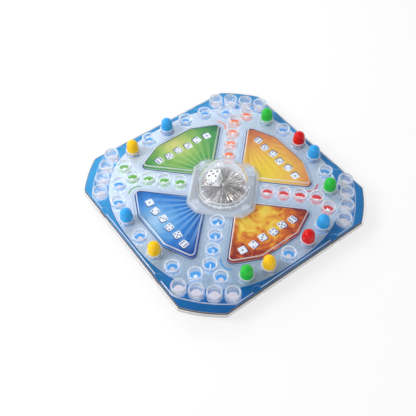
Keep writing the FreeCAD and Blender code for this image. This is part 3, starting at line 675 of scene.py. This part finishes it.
tray_finish = plastic("tray_light_grey", srgb(162, 155, 152), 0.42, grain=0.02, grain_size=0.4, flat=True)
inks = {arm: ink(f"ink_{arm}", colour) for arm, colour in ARM_COLOURS.items()}
navy_ink = ink("ink_navy", srgb(24, 52, 120))
white_ink = ink("ink_white", srgb(240, 242, 246))
pale_ink = ink("ink_pale_grey", srgb(206, 198, 202))
field_finish = frosted_field("field_print")
border_finish = border_print("border_print")
# White bands on the board's bevels, painted highlights: each is the low level, the high level and the
# strength
BEVEL_HIGHLIGHTS = [
    (PLATE_TOP - 0.6, PLATE_TOP - 0.03, 0.85), (PLATE_TOP + 0.03, PLATFORM_TOP - 0.03, 0.6),
    (WINDOW_TOP - 0.7, WINDOW_TOP - 0.03, 0.7),
]
CLEAR = (0.985, 0.99, 1.0, 1.0)
# The board's skirt below the card's top is painted a shaded grey brown, and its bevels carry painted
# highlights
board_finish = clear_sheet(
    "clear_board", CLEAR, 0.0, 0.8, BEVEL_HIGHLIGHTS, PLATE_TOP - 0.6, haze_and_highlight_colour=srgb(226, 226, 228),
    shaded_side_colour=srgb(166, 156, 151),
)
# Milky bands round the cups' rims and the dome's neck: partly frosting, partly painted highlight
RIM_HIGHLIGHT_BANDS = [(rim - 0.4, rim + 0.3, 0.35) for rim in (LOW_RIM, HIGH_RIM)]
NECK_HIGHLIGHT_BAND = (19.6, 21.6, 0.8)
cup_finish = clear_solid("clear_cups", CLEAR, haze=0.12, bands=RIM_HIGHLIGHT_BANDS, straight=0.4)
post_finish = clear_solid("clear_posts", CLEAR, haze=0.12, straight=0.4)
dome_finish = clear_solid("clear_dome", (0.985, 0.99, 0.995, 1.0), haze=0.07, bands=[NECK_HIGHLIGHT_BAND])
housing_finish = clear_sheet(
    "frosted_housing", (0.97, 0.98, 0.99, 1.0), 0.26, 0.5, roughness=0.2, wave=0.03,
    haze_and_highlight_colour=(0.76, 0.81, 0.87, 1.0),
)
silver_finish = streaked_silver("silvered_floor")
steel_finish = metal("spring_steel", srgb(170, 172, 176), 0.3)
PEG_COLOURS = {
    "peg_blue": ("peg_sky_blue", srgb(48, 160, 228)),
    "peg_yellow": ("peg_yellow", srgb(248, 196, 16)),
    "peg_green": ("peg_green", srgb(38, 186, 60)),
    "peg_red": ("peg_red", srgb(212, 12, 12)),
}
peg_finishes = {
    peg: plastic(name, colour, 0.26, grain=0.03, grain_size=0.9, vary=0.05, coat=0.3, soft=0.06, gloss=0.15)
    for peg, (name, colour) in PEG_COLOURS.items()
}


# The card and its print

for node in ("printed_card", "base_tray", "popper_screws"):
    finish = {"printed_card": border_finish, "base_tray": tray_finish}.get(node, steel_finish)
    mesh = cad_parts[node].data
    mesh.materials.clear()
    mesh.materials.append(finish)


def superellipse(half, power):
    """Radius where |x|^power + |y|^power = half^power, at each angle."""
    return half / (np.abs(np.cos(ANGLES)) ** power + np.abs(np.sin(ANGLES)) ** power) ** (1 / power)


def print_piece(name, shapes, finish):
    """One colour of the print, which lies on the card."""
    piece(name, gathered(shapes), finish, "root")


def printed_band(name, outer, inner, layer, finish):
    print_piece(name, [flat_ring(polar_loop(inner, 0), polar_loop(outer, 0), layer)], finish)


field_edge = superellipse(FIELD_HALF, FIELD_POWER)
printed_band("field_print", field_edge, SHAFT_RADIUS + 0.6, 1, field_finish)
printed_band("field_outline", field_edge + 0.5, field_edge - 0.1, 2, ink("ink_deep_blue", srgb(26, 96, 170)))

track = [[tuple(turned(spot, q)) for spot in TRACK_ROW] for q in range(QUARTERS)]
finish_cups = [[tuple(turned(along_arm(*spot), q)) for spot in FINISH_ROW] for q in range(QUARTERS)]
start_cups = [tuple(turned(along_arm(*spot), q)) for q in range(QUARTERS) for spot in START_ROW]

RING_OUTER, DOT_RADIUS, START_RADIUS = 5.5, 2.3, 4.8
plain = [spot for side in track for spot in side[:6]]
starts = [side[6] for side in track]
print_piece("track_rings", [printed_ring(RING_OUTER, DOT_RADIUS, 2, spot) for spot in plain], inks["blue"])
print_piece("track_dots", [slab(disc(DOT_RADIUS, spot), 2) for spot in plain], pale_ink)
print_piece("start_discs", [slab(disc(START_RADIUS, spot), 2) for spot in start_cups], pale_ink)


def star(centre, outer, turn, points=5):
    """A star outline: corners in turn on the outer radius and on 0.42 of it."""
    angle = turn + np.arange(2 * points) * math.pi / points
    radius = np.where(np.arange(2 * points) % 2 == 0, outer, outer * 0.42)
    return np.column_stack([centre[0] + radius * np.cos(angle), centre[1] + radius * np.sin(angle)])


def round_ended_arc(centre, radius, width, start, end):
    """An arc of a given width whose ends are half circles."""
    share = np.linspace(start, end, 25)
    half = width / 2
    cap = np.linspace(0, math.pi, 9)[1:-1]
    outer = np.column_stack([np.cos(share), np.sin(share)]) * (radius + half)
    inner = np.column_stack([np.cos(share), np.sin(share)])[::-1] * (radius - half)

    def end_cap(angle, sign):
        middle = np.array([math.cos(angle), math.sin(angle)])
        along = np.array([-math.sin(angle), math.cos(angle)]) * sign
        return middle * radius + half * (np.cos(cap)[:, None] * middle * sign + np.sin(cap)[:, None] * along)

    return np.vstack([outer, end_cap(end, 1.0), inner, end_cap(start, -1.0)]) + np.asarray(centre)


for q, arm in enumerate(ARMS):
    spots = finish_cups[q] + [starts[q]]
    shapes = [slab(disc(RING_OUTER, spot, 64), 2) for spot in spots]
    bow = round_ended_arc((79.4, 18.0), 9.8, 1.3, -math.pi / 2, 0.0)
    bow = np.array([along_arm(*point) for point in bow])
    shapes.append(slab(turned(bow, q), 2))
    print_piece(f"arm_print_{arm}", shapes, inks[arm])
stars = [star(spot, 3.0, -math.pi / 4 + math.pi + q * math.pi / 2) for q, spot in enumerate(starts)]
print_piece("start_stars", [slab(outline, 3) for outline in stars], white_ink)


def numeral(number, centre, turn):
    """A plain numeral, made a mesh before it is placed."""
    letters = bpy.data.curves.new("numeral", "FONT")
    letters.body = str(number)
    letters.size = 7.5 * MM
    letters.extrude = 0.01 * MM
    letters.align_x = "CENTER"
    letters.align_y = "CENTER"
    letters.offset = 0.15 * MM
    maker = bpy.data.objects.new("numeral_maker", letters)
    mesh = bpy.data.meshes.new_from_object(maker)
    mesh.transform(Matrix.Rotation(turn, 4, "Z"))
    mesh.transform(Matrix.Translation(Vector((centre[0], centre[1], ink_level(3))) * MM))
    points = np.array([v.co for v in mesh.vertices]) / MM
    faces = [list(p.vertices) for p in mesh.polygons]
    bpy.data.objects.remove(maker)
    bpy.data.curves.remove(letters)
    bpy.data.meshes.remove(mesh)
    return points, faces


numerals = [
    numeral(4 - i, finish_cups[q][i], math.pi / 4 + q * math.pi / 2)
    for q in range(QUARTERS)
    for i in range(4)
]
print_piece("finish_numerals", numerals, white_ink)

# Panels under the windows
PANEL_STYLES = [
    dict(
        stops=[
            (0.0, srgb(180, 214, 238)), (0.3, srgb(108, 174, 222)), (0.6, srgb(44, 130, 206)),
            (0.95, srgb(18, 76, 156)),
        ],
        glow=(-8.0, 76.0), reach=50.0, rays=((4.0, 20.0), 34, srgb(150, 202, 238), 0.9),
    ),
    dict(
        stops=[
            (0.05, srgb(248, 216, 84)), (0.3, srgb(242, 176, 58)), (0.52, srgb(222, 112, 44)),
            (0.78, srgb(152, 46, 40)),
        ],
        glow=(2.0, 48.0), reach=54.0, cloud=(15.0, 6.0, 1.6, 1.6),
    ),
    dict(
        stops=[
            (0.1, srgb(248, 216, 72)), (0.45, srgb(246, 194, 88)), (0.8, srgb(224, 136, 86)),
            (1.0, srgb(188, 92, 72)),
        ],
        glow=(-6.0, 46.0), reach=62.0, rays=((40.0, 60.0), 40, srgb(214, 110, 62), 0.5),
    ),
    dict(
        stops=[
            (0.05, srgb(222, 220, 130)), (0.4, srgb(150, 192, 98)), (0.7, srgb(88, 166, 90)),
            (1.0, srgb(48, 126, 80)),
        ],
        glow=(4.0, 76.0), reach=50.0, rays=((-2.0, 24.0), 30, srgb(190, 222, 126), 0.6),
    ),
]
PANEL_NAMES = ["panel_blue", "panel_flame", "panel_orange", "panel_green"]
TILE, TILE_PITCH, TILE_ROW = 7.4, 11.6, 66.0
PIPS = {
    1: [(0, 0)],
    2: [(-1, -1), (1, 1)],
    3: [(-1, -1), (0, 0), (1, 1)],
    4: [(-1, -1), (1, 1), (-1, 1), (1, -1)],
    5: [(-1, -1), (1, 1), (-1, 1), (1, -1), (0, 0)],
    6: [(-1, -1), (1, 1), (-1, 1), (1, -1), (-1, 0), (1, 0)],
}


def tile_place(index, shift=0.0):
    """Middle and tilt of one printed die face in the row across a panel."""
    tilt = math.radians(9.0 if index % 2 else -7.0)
    return (TILE_PITCH * (index - 2.5) + shift, -TILE_ROW - 1.2 * (index % 2) - shift), tilt


def tile_outline(index, side, shift=0.0):
    (x, y), tilt = tile_place(index, shift)
    half = side / 2
    square = rounded([(-half, -half), (half, -half), (half, half), (-half, half)], 1.4, 6)
    cosine, sine = math.cos(tilt), math.sin(tilt)
    return square @ np.array([[cosine, sine], [-sine, cosine]]) + (x, y)


def tile_pips(index, radius=0.78, spread=1.95):
    (x, y), tilt = tile_place(index)
    cosine, sine = math.cos(tilt), math.sin(tilt)
    spots = [
        (x + spread * (a * cosine - b * sine), y + spread * (a * sine + b * cosine))
        for a, b in PIPS[index + 1]
    ]
    return [disc(radius, spot, 20) for spot in spots]


edges, tiles, marks = [], [], []
under_housing = (1 - OUTER_SIDES) * -2.5
for q in range(QUARTERS):
    edges.append(slab(turned(window_outline(OUTER_SIDES * -0.5), q), 2))
    art = window_outline(OUTER_SIDES * 0.3 + under_housing)
    finish = panel_finish(PANEL_NAMES[q], q, **PANEL_STYLES[q])
    print_piece(PANEL_NAMES[q], [slab(turned(art, q), 3)], finish)
    for index in range(6):
        edges.append(slab(turned(tile_outline(index, TILE, 0.8), q), 4))
        tiles.append(slab(turned(tile_outline(index, TILE), q), 5))
        marks.extend(slab(turned(mark, q), 6) for mark in tile_pips(index))
print_piece("panel_edges", edges + marks, navy_ink)


def window_line(quarter, away, width=0.45):
    """A thin darker line on the field round a window's outer sides, that distance away from them: painted
    shade beside the raised window.
    """
    near, far = (
        turned(window_outline(-OUTER_SIDES * d, WINDOW_ROUNDS + d), quarter) for d in (away, away + width)
    )
    return flat_ring(near, far, 2)


# Painted shade: a pale blue line, darker than the field, beside each raised window
painted_shade_finish = ink("painted_shade_pale_blue", srgb(132, 160, 196))
print_piece("window_shade_lines", [window_line(q, 2.3) for q in range(QUARTERS)], painted_shade_finish)
print_piece("dice_tiles", tiles, white_ink)


def popper_patch(sign):
    """Grey patches on the card beside the popper, for the warm grey seen there through the housing: a strip
    across the board whose middle is cut by a circle.
    Left and right run along (1, 1), near and far along (1, -1)."""
    reach, half, radius = 31.0, 20.5, 28.2
    turn = math.asin(half / radius)
    arc = np.linspace(turn, -turn, 25)
    loop = [(reach, -half), (reach, half)] + [(radius * math.cos(a), radius * math.sin(a)) for a in arc]
    return np.array([along_arm(sign * far, sign * side) for side, far in loop])


popper_grey_finish = ink("warm_grey_patches", srgb(134, 127, 122))
print_piece("popper_patches", [slab(popper_patch(sign), 2) for sign in (-1, 1)], popper_grey_finish)


# The clear board

def board_shape():
    """A plate with a round hole and a skirt: loops round the board that run over the platform,
    down its step, over the rim, down the skirt, and back underneath."""
    half, corner = BOARD
    step_half, step_corner = PLATFORM
    steps = [
        (-0.35, PLATFORM_TOP - 0.2), (-0.55, PLATFORM_TOP - 0.05), (-0.8, PLATFORM_TOP),
        (-1.6, PLATFORM_TOP),
    ]
    loops = [polar_loop(SHAFT_RADIUS, PLATFORM_TOP), polar_loop(SHAFT_RADIUS + 1.0, PLATFORM_TOP)]
    loops += [polar_loop(cut_square(step_half + d, step_corner + d), z) for d, z in steps[::-1]]
    loops += [
        polar_loop(cut_square(step_half + d, step_corner + d), z)
        for d, z in ((0.15, PLATE_TOP + 0.2), (0.35, PLATE_TOP + 0.05), (0.6, PLATE_TOP), (1.0, PLATE_TOP))
    ]
    rim = [
        (-1.2, PLATE_TOP), (-0.6, PLATE_TOP), (-0.3, PLATE_TOP - 0.08), (-0.08, PLATE_TOP - 0.3),
        (0.0, PLATE_TOP - 0.6), (0.0, SKIRT_BOTTOM + 0.3), (-0.09, SKIRT_BOTTOM + 0.09),
        (-0.3, SKIRT_BOTTOM), (-SKIRT_WALL + 0.3, SKIRT_BOTTOM), (-SKIRT_WALL, SKIRT_BOTTOM + 0.3),
        (-SKIRT_WALL, PLATE_BOTTOM),
    ]
    loops += [polar_loop(cut_square(half + d, corner + d), z) for d, z in rim]
    loops.append(polar_loop(SHAFT_RADIUS, PLATE_BOTTOM))
    return ring_solid(loops[::-1])


def cut_away(thing, shape):
    """Takes a closed shape out of a piece for good."""
    tool_mesh = bpy.data.meshes.new("cutter")
    tool_mesh.from_pydata((np.asarray(shape[0]) * MM).tolist(), [], shape[1])
    tool = bpy.data.objects.new("cutter", tool_mesh)
    bpy.context.scene.collection.objects.link(tool)
    cut = thing.modifiers.new("cut", "BOOLEAN")
    cut.object = tool
    cut.operation = "DIFFERENCE"
    cut.solver = "EXACT"
    shown = thing.evaluated_get(bpy.context.evaluated_depsgraph_get())
    result = bpy.data.meshes.new_from_object(shown)
    thing.modifiers.clear()
    old = thing.data
    thing.data = result
    bpy.data.meshes.remove(old)
    bpy.data.objects.remove(tool)
    result.shade_smooth()
    result.set_sharp_from_angle(angle=math.radians(SMOOTH_ANGLE))


board = piece("board_moulding", board_shape(), board_finish, "root", ["clear_board"])
bites = []
for q in range(QUARTERS):
    for side in (-1, 1):
        middle = NOTCH_PLACE * side
        notch = disc(NOTCH_RADIUS, (PLATFORM[0], middle), 48)
        bites.append(prism(turned(notch, q), PLATE_TOP, PLATFORM_TOP + 1.0))
        inner, outer = SLOT_SIDE
        low, high = middle - SLOT_HALF, middle + SLOT_HALF
        slot = [(inner, low), (outer, low), (outer, high), (inner, high)]
        bites.append(prism(turned(slot, q), *SLOT_LEVELS))
cut_away(board, gathered(bites))


def window_shape(quarter):
    """A raised window: its outline carried up a bevelled and rounded edge to a flat top."""
    profile = [
        (0.0, PLATE_BOTTOM + 0.2), (0.0, WINDOW_TOP - 1.75), (0.06, WINDOW_TOP - 1.6),
        (0.2, WINDOW_TOP - 1.4), (0.8, WINDOW_TOP - 0.7), (1.05, WINDOW_TOP - 0.5),
        (1.9, WINDOW_TOP - 0.1), (2.2, WINDOW_TOP),
    ]
    loops = []
    for inset, z in profile:
        rounds = np.maximum(WINDOW_ROUNDS - inset, 0.25)
        loops.append(at_level(turned(window_outline(inset * OUTER_SIDES, rounds, 7), quarter), z))
    return solid(loops)


piece(
    "window_blocks", gathered([window_shape(q) for q in range(QUARTERS)]), board_finish, "root",
)


def cup_shape(centre, rim):
    """A cup's wall: wider at the foot, rounded at the rim, turned about its own middle."""
    bore, base, foot = 5.3, 7.4, PLATE_BOTTOM + 0.1
    wall = [(bore, foot), (base, foot), (base, PLATFORM_TOP), (7.1, rim), (5.6, rim), (bore, rim - 0.8)]
    return revolved(rounded(wall, [0, 0, 0, 0.7, 0.6, 0.5], 5), 64, centre)


CUP_ROWS = {
    "track": ([spot for side in track for spot in side], LOW_RIM),
    "finish": ([spot for arm in finish_cups for spot in arm], LOW_RIM),
    "start": (start_cups, HIGH_RIM),
}
for row, (spots, rim) in CUP_ROWS.items():
    cups = gathered([cup_shape(spot, rim) for spot in spots])
    piece(f"{row}_cups", cups, cup_finish, "root", [f"{row}_peg_cups"])


# The popper

def octagon_radius(half, corner, bend=60.0):
    """Radius of the housing's eight-sided outline at each angle: the soft minimum of a rectangle
    turned by 45 degrees, 2 mm longer along (1, -1), and a square along X and Y."""
    slanted = [
        (half + (q % 2)) / np.maximum(np.cos(ANGLES - math.pi / 4 - q * math.pi / 2), 1e-3) for q in range(4)
    ]
    straight = [corner / np.maximum(np.cos(ANGLES - q * math.pi / 2), 1e-3) for q in range(4)]
    sides = np.stack(slanted + straight)
    sides = np.where(sides > 0, sides, 1e6)
    least = sides.min(0)
    share = np.exp(-bend * (np.log(sides) - np.log(least))).sum(0)
    return least * share ** (-1 / bend)


def housing_shape():
    """Loops from the outer foot up the sloping side, over the roof to the round opening, and back
    underneath, each the octagon of one half-size or a circle."""
    top, roof, wall, half, corner, opening = 19.8, 18.2, 1.6, 32.6, 39.2, 24.8
    slope = math.tan(math.radians(38.0))
    outer = [
        (0.0, PLATFORM_TOP), (slope * 3.2, top - 0.8), (slope * 3.6, top - 0.35),
        (slope * 3.9 + 0.25, top - 0.08), (slope * 4.0 + 0.8, top), (slope * 4.0 + 2.0, top),
    ]
    loops = [polar_loop(octagon_radius(half - d, corner - d), z) for d, z in outer]
    lip = [(0.9, top), (0.4, top), (0.1, top - 0.1), (0.0, top - 0.4), (0.0, roof)]
    loops += [polar_loop(opening + d, z) for d, z in lip]
    inner = [(slope * 2.4 + wall + 0.4, roof), (slope * 2.4 + wall, roof), (wall, PLATFORM_TOP)]
    loops += [polar_loop(octagon_radius(half - d, corner - d), z) for d, z in inner]
    return ring_solid(loops)


def post_shape(centre):
    """A screw post: spigot, post and a dished cap, turned about its own middle."""
    profile = [
        (0.0, 9.1), (2.5, 9.1), (2.5, 15.6), (3.5, 15.8), (3.5, 20.6), (1.9, 20.6), (1.6, 20.2), (0.0, 20.2),
    ]
    return revolved(rounded(profile, [0, 0.3, 0.2, 0.2, 0.4, 0.2, 0.2, 0], 4, closed=False), 40, centre)


piece("housing_shell", housing_shape(), housing_finish, "root", ["popper_housing"])
posts = gathered([post_shape(tuple(turned((POST_REACH, 0.0), q))) for q in range(QUARTERS)])
piece("housing_posts", posts, post_finish, "root")


def dome_shape():
    """A half sphere with a neck and a flange, outside then inside, turned about Z."""
    outer_radius, inner_radius, centre = 24.0, 22.5, 23.0
    flange_radius, flange_top, flange_bottom = 25.2, 18.0, 16.7
    rise = np.radians(np.linspace(90, 0, 40))
    outside = np.column_stack([outer_radius * np.cos(rise), centre + outer_radius * np.sin(rise)])
    inside = np.column_stack([inner_radius * np.cos(rise[::-1]), centre + inner_radius * np.sin(rise[::-1])])
    outside[0, 0] = inside[-1, 0] = 0.0
    corners = [
        (outer_radius, 20.6), (outer_radius, flange_top), (flange_radius, flange_top),
        (flange_radius, flange_bottom), (inner_radius, flange_bottom), (inner_radius, 18.6),
    ]
    flange = rounded(corners, [0, 0.6, 0.4, 0.3, 0.3, 0], 4, closed=False)
    return revolved(np.vstack([outside, flange, inside])[::-1], 128)


piece("dome_shell", dome_shape(), dome_finish, "popper", ["dome"])

FLUTES = 36
FLOOR_APEX, FLOOR_CROWN = 21.3, 3.0


def floor_shape():
    """The fluted floor. Height = the cone's height less a pleat that is deepest half way out:
    depth * sin(pi * share) * |sin(flutes * angle / 2)|, in a closed shell with a plunger below."""
    around = FLUTES * 12
    angle = np.arange(around) * 2 * math.pi / around
    radii = np.concatenate([np.linspace(0.6, 3.0, 5), np.linspace(3.8, 20.5, 26)])
    share = np.clip((radii - 2.0) / 18.5, 0, 1)[:, None]
    cone = np.interp(radii, [0, FLOOR_CROWN, 20.5], [FLOOR_APEX, 21.05, 16.75])[:, None]
    level = cone + 0.9 * np.sin(math.pi * share) * 0.6
    uneven = 1 + 0.35 * np.sin(3 * angle + 0.7) + 0.2 * np.sin(7 * angle)
    pleat = np.abs(np.sin(FLUTES * angle / 2)) * uneven
    height = level - 1.1 * np.sin(math.pi * share) ** 0.6 * pleat
    grid = np.stack([radii[:, None] * np.cos(angle), radii[:, None] * np.sin(angle), height], axis=-1)
    below = [(26.5, 16.65), (26.5, 15.5), (20.8, 15.5), (4.2, 19.2), (4.0, 19.0), (4.0, 9.0), (0.6, 9.0)]
    under = [np.column_stack([r * np.cos(angle), r * np.sin(angle), np.full(around, z)]) for r, z in below]
    loops = np.concatenate([grid, np.array(under)])[::-1]
    return solid(loops)


piece(
    "silver_floor", floor_shape(), silver_finish, "popper", ["dice_floor"],
    smooth_angle=28.0,
)
STRIP_SEAT = 4.2


def strip_shape():
    """The bowed strip under the plunger: height = seat + bow * (1 - (x / half length)^2), with a
    rounded edge on both long sides."""
    half, bow, thickness = 25.0, 4.0, 0.4
    outline = rounded([(-6.0, 0.0), (6.0, 0.0), (6.0, thickness), (-6.0, thickness)], 0.15, 4)
    x = np.linspace(-half, half, 41)[:, None]
    level = STRIP_SEAT + bow * (1 - (x / half) ** 2)
    across = np.broadcast_to(outline[:, 0], (len(x), len(outline)))
    return solid(np.stack([np.broadcast_to(x, across.shape), -across, level + outline[:, 1]], axis=-1))


strip = piece("bowed_strip", strip_shape(), steel_finish, "root", ["snap_strip"])
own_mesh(strip)


def die_finish():
    """White plastic whose sunk pips are painted dark, from the mesh's own pip attribute."""
    finish, tree = new_finish("white_die")
    painted = add(tree, "Attribute", {"attribute_name": "pip"}).outputs["Fac"]
    edge = math_node(tree, "GREATER_THAN", painted, 0.5)
    colour = blend_colour(tree, edge, srgb(240, 240, 242), srgb(26, 28, 40))
    shader = add(tree, "BsdfPrincipled", Base_Color=colour, Roughness=0.22, Coat_Weight=0.2)
    finished(tree, shader.outputs[0])
    return finish


DIE_SIDE, DIE_ROUND, DIE_CELLS = 12.0, 1.4, 72
PIP_RADIUS, PIP_SPREAD, PIP_DEPTH = 1.5, 3.1, 0.5
DIE_ORBIT = 7.6


def die_mesh():
    """A cube whose points are pulled onto a rounded box: the point clamped to the inner box plus
    the radius along what is left. Each pip sinks it by depth * (1 - (d / radius)^2)^0.5."""
    half, inner = DIE_SIDE / 2, DIE_SIDE / 2 - DIE_ROUND
    line = np.linspace(-half, half, DIE_CELLS + 1)
    u, v = np.meshgrid(line, line, indexing="ij")
    points, faces, marks = [], [], []
    sides = [(2, 1, 5), (2, -1, 2), (1, -1, 3), (1, 1, 4), (0, 1, 1), (0, -1, 6)]
    for axis, sign, count in sides:
        flat = np.zeros((*u.shape, 3))
        flat[..., (axis + 1) % 3] = u
        flat[..., (axis + 2) % 3] = v
        flat[..., axis] = sign * half
        core = np.clip(flat, -inner, inner)
        away = flat - core
        away /= np.maximum(np.linalg.norm(away, axis=-1, keepdims=True), 1e-9)
        shape = core + away * DIE_ROUND
        sunk = np.zeros(u.shape)
        mark = np.zeros(u.shape)
        for a, b in PIPS[count]:
            near = ((u - a * PIP_SPREAD) ** 2 + (v - b * PIP_SPREAD) ** 2) / PIP_RADIUS**2
            sunk = np.maximum(sunk, np.sqrt(np.clip(1 - near, 0, 1)))
            mark = np.maximum(mark, np.clip(0.5 + 2 * (1 - np.sqrt(near)), 0, 1))
        shape[..., axis] -= sign * PIP_DEPTH * sunk
        start = len(points) * u.size
        index = start + np.arange(u.size).reshape(u.shape)
        corners = [index[:-1, :-1], index[1:, :-1], index[1:, 1:], index[:-1, 1:]]
        quads = np.stack(corners, axis=-1).reshape(-1, 4)
        faces.extend((quads if sign > 0 else quads[:, ::-1]).tolist())
        points.append(shape.reshape(-1, 3))
        marks.append(mark.ravel())
    return np.vstack(points), faces, np.concatenate(marks)


def make_die():
    """Marks the pips and leans the die on the floor's slope."""
    points, faces, marks = die_mesh()
    bearing = math.radians(209.0)
    slope = math.atan(4.6 / 17.5)
    outward = Vector((math.cos(bearing), math.sin(bearing), 0))
    lean = Matrix.Rotation(slope, 3, Vector((-outward.y, outward.x, 0)))
    turn = Matrix.Rotation(math.radians(35.0), 3, "Z")
    lift = DIE_SIDE / 2 + 0.2
    reach = DIE_ORBIT + lift * math.sin(slope)
    level = FLOOR_APEX - math.tan(slope) * (DIE_ORBIT - FLOOR_CROWN)
    centre = np.array([reach * math.cos(bearing), reach * math.sin(bearing), level + lift * math.cos(slope)])
    shape = (points @ np.array(lean @ turn).T + centre, faces)
    thing = piece("white_die", shape, die_finish(), "die", ["die"], smooth_angle=60.0)
    attribute = thing.data.attributes.new("pip", "FLOAT", "POINT")
    attribute.data.foreach_set("value", marks)


make_die()


# The pegs

def peg_shape(centre):
    """A bullet-shaped cap on a hollow stem: a profile turned about its middle. The cap's top is
    radius * cos(t), height * sin(t)^0.92 over nearly upright sides."""
    base = LOW_RIM
    rise = np.radians(np.linspace(90, 6, 18))
    cap = np.column_stack([5.6 * np.cos(rise), base + 5.5 + 6.1 * np.sin(rise) ** 0.92])
    cap[0, 0] = 0.0
    lower = rounded(
        [
            tuple(cap[-1]), (6.0, base + 1.4), (6.1, base), (4.9, base), (4.7, base - 4.3),
            (3.2, base - 4.3), (3.2, base + 6.7), (0.0, base + 6.7),
        ],
        [0, 1.5, 0.4, 0.2, 0.35, 0.25, 0.6, 0], 3, closed=False,
    )
    profile = np.vstack([cap[:-1], lower])
    return revolved(profile[::-1], 56, centre)


for colour, places in PEG_PLACES.items():
    for number, (side, place) in enumerate(places, start=1):
        name = f"{colour}_{number}"
        shape = peg_shape(track[side][place - 1])
        piece(f"{name}_moulding", shape, peg_finishes[colour], name, [name])


# Camera, light and floor

def place_camera():
    """The photograph's view: a direction, a distance and a roll about the line of sight."""
    azimuth, elevation, roll = (math.radians(a) for a in (53.860, 52.986, -0.628))
    distance, lens = 599.4 * MM, 55.04
    target = Vector((9.46, -25.55, 14.0)) * MM
    level = math.cos(elevation)
    back = Vector((math.sin(azimuth) * level, -math.cos(azimuth) * level, math.sin(elevation)))
    right = (-back).cross(Vector((0, 0, 1))).normalized()
    up = right.cross(-back)
    across = right * math.cos(roll) + up * math.sin(roll)
    above = up * math.cos(roll) - right * math.sin(roll)
    camera = bpy.data.objects.new("camera", bpy.data.cameras.new("camera"))
    camera.data.lens = lens
    camera.data.sensor_width = 36.0
    camera.data.clip_start = 0.01
    turn = Matrix((across, above, back)).transposed().to_4x4()
    camera.matrix_world = Matrix.Translation(target + back * distance) @ turn
    bpy.context.scene.collection.objects.link(camera)
    bpy.context.scene.camera = camera


def soft_lamp(name, place, size, power):
    lamp = bpy.data.lights.new(name, "AREA")
    lamp.shape = "RECTANGLE"
    lamp.size, lamp.size_y = size
    lamp.energy = power
    thing = bpy.data.objects.new(name, lamp)
    thing.location = place
    thing.rotation_euler = Vector(place).to_track_quat("Z", "Y").to_euler()
    bpy.context.scene.collection.objects.link(thing)
    return thing


place_camera()
soft_lamp("key", (-0.24, -0.62, 0.62), (0.34, 0.3), 4.2)
soft_lamp("fill", (-0.5, 0.08, 0.44), (0.5, 0.5), 2.0).visible_glossy = False


def seen_directly(tree):
    """1 for light that goes to the camera, to a mirror or through glass."""
    path = add(tree, "LightPath")
    mirrored = math_node(tree, "MAXIMUM", path.outputs["Is Glossy Ray"], path.outputs["Is Transmission Ray"])
    return math_node(tree, "MAXIMUM", path.outputs["Is Camera Ray"], mirrored)


world = bpy.data.worlds.new("studio")
bpy.context.scene.world = world
world.use_nodes = True
sky = world.node_tree
sky.nodes.clear()
height = add(sky, "SeparateXYZ", Vector=add(sky, "TexCoord").outputs["Generated"]).outputs["Z"]
ceiling = soft_step(sky, height, 0.1, 0.85)
shade = math_node(sky, "MULTIPLY_ADD", ceiling, -0.55, 0.95)
room = add(sky, "Background", Color=(0.95, 0.97, 1.0, 1.0), Strength=shade)
backdrop = add(sky, "Background", Color=(1, 1, 1, 1), Strength=1.0)
low_down = soft_step(sky, height, 0.6, 0.3)
white_share = math_node(sky, "MULTIPLY", seen_directly(sky), low_down)
both = add(sky, "MixShader", i0=white_share, i1=room.outputs[0], i2=backdrop.outputs[0])
add(sky, "OutputWorld", Surface=both.outputs[0])

floor_mesh = bpy.data.meshes.new("floor")
floor_mesh.from_pydata([(-3, -3, 0), (3, -3, 0), (3, 3, 0), (-3, 3, 0)], [], [(0, 1, 2, 3)])
floor_finish, floor_tree = new_finish("floor_white")
floor_colour = add(floor_tree, "BsdfPrincipled", Base_Color=(0.97, 0.97, 0.97, 1), Roughness=0.8)
floor_white = add(floor_tree, "Emission", Color=(1, 1, 1, 1), Strength=1.0)
share = math_node(floor_tree, "MULTIPLY", seen_directly(floor_tree), 0.75)
floor_mix = add(floor_tree, "MixShader", i0=share, i1=floor_colour.outputs[0], i2=floor_white.outputs[0])
finished(floor_tree, floor_mix.outputs[0])
floor_mesh.materials.append(floor_finish)
floor = bpy.data.objects.new("floor", floor_mesh)
bpy.context.scene.collection.objects.link(floor)

scene = bpy.context.scene
scene.view_settings.view_transform = "Standard"
scene.cycles.max_bounces = 16
scene.cycles.transparent_max_bounces = 32
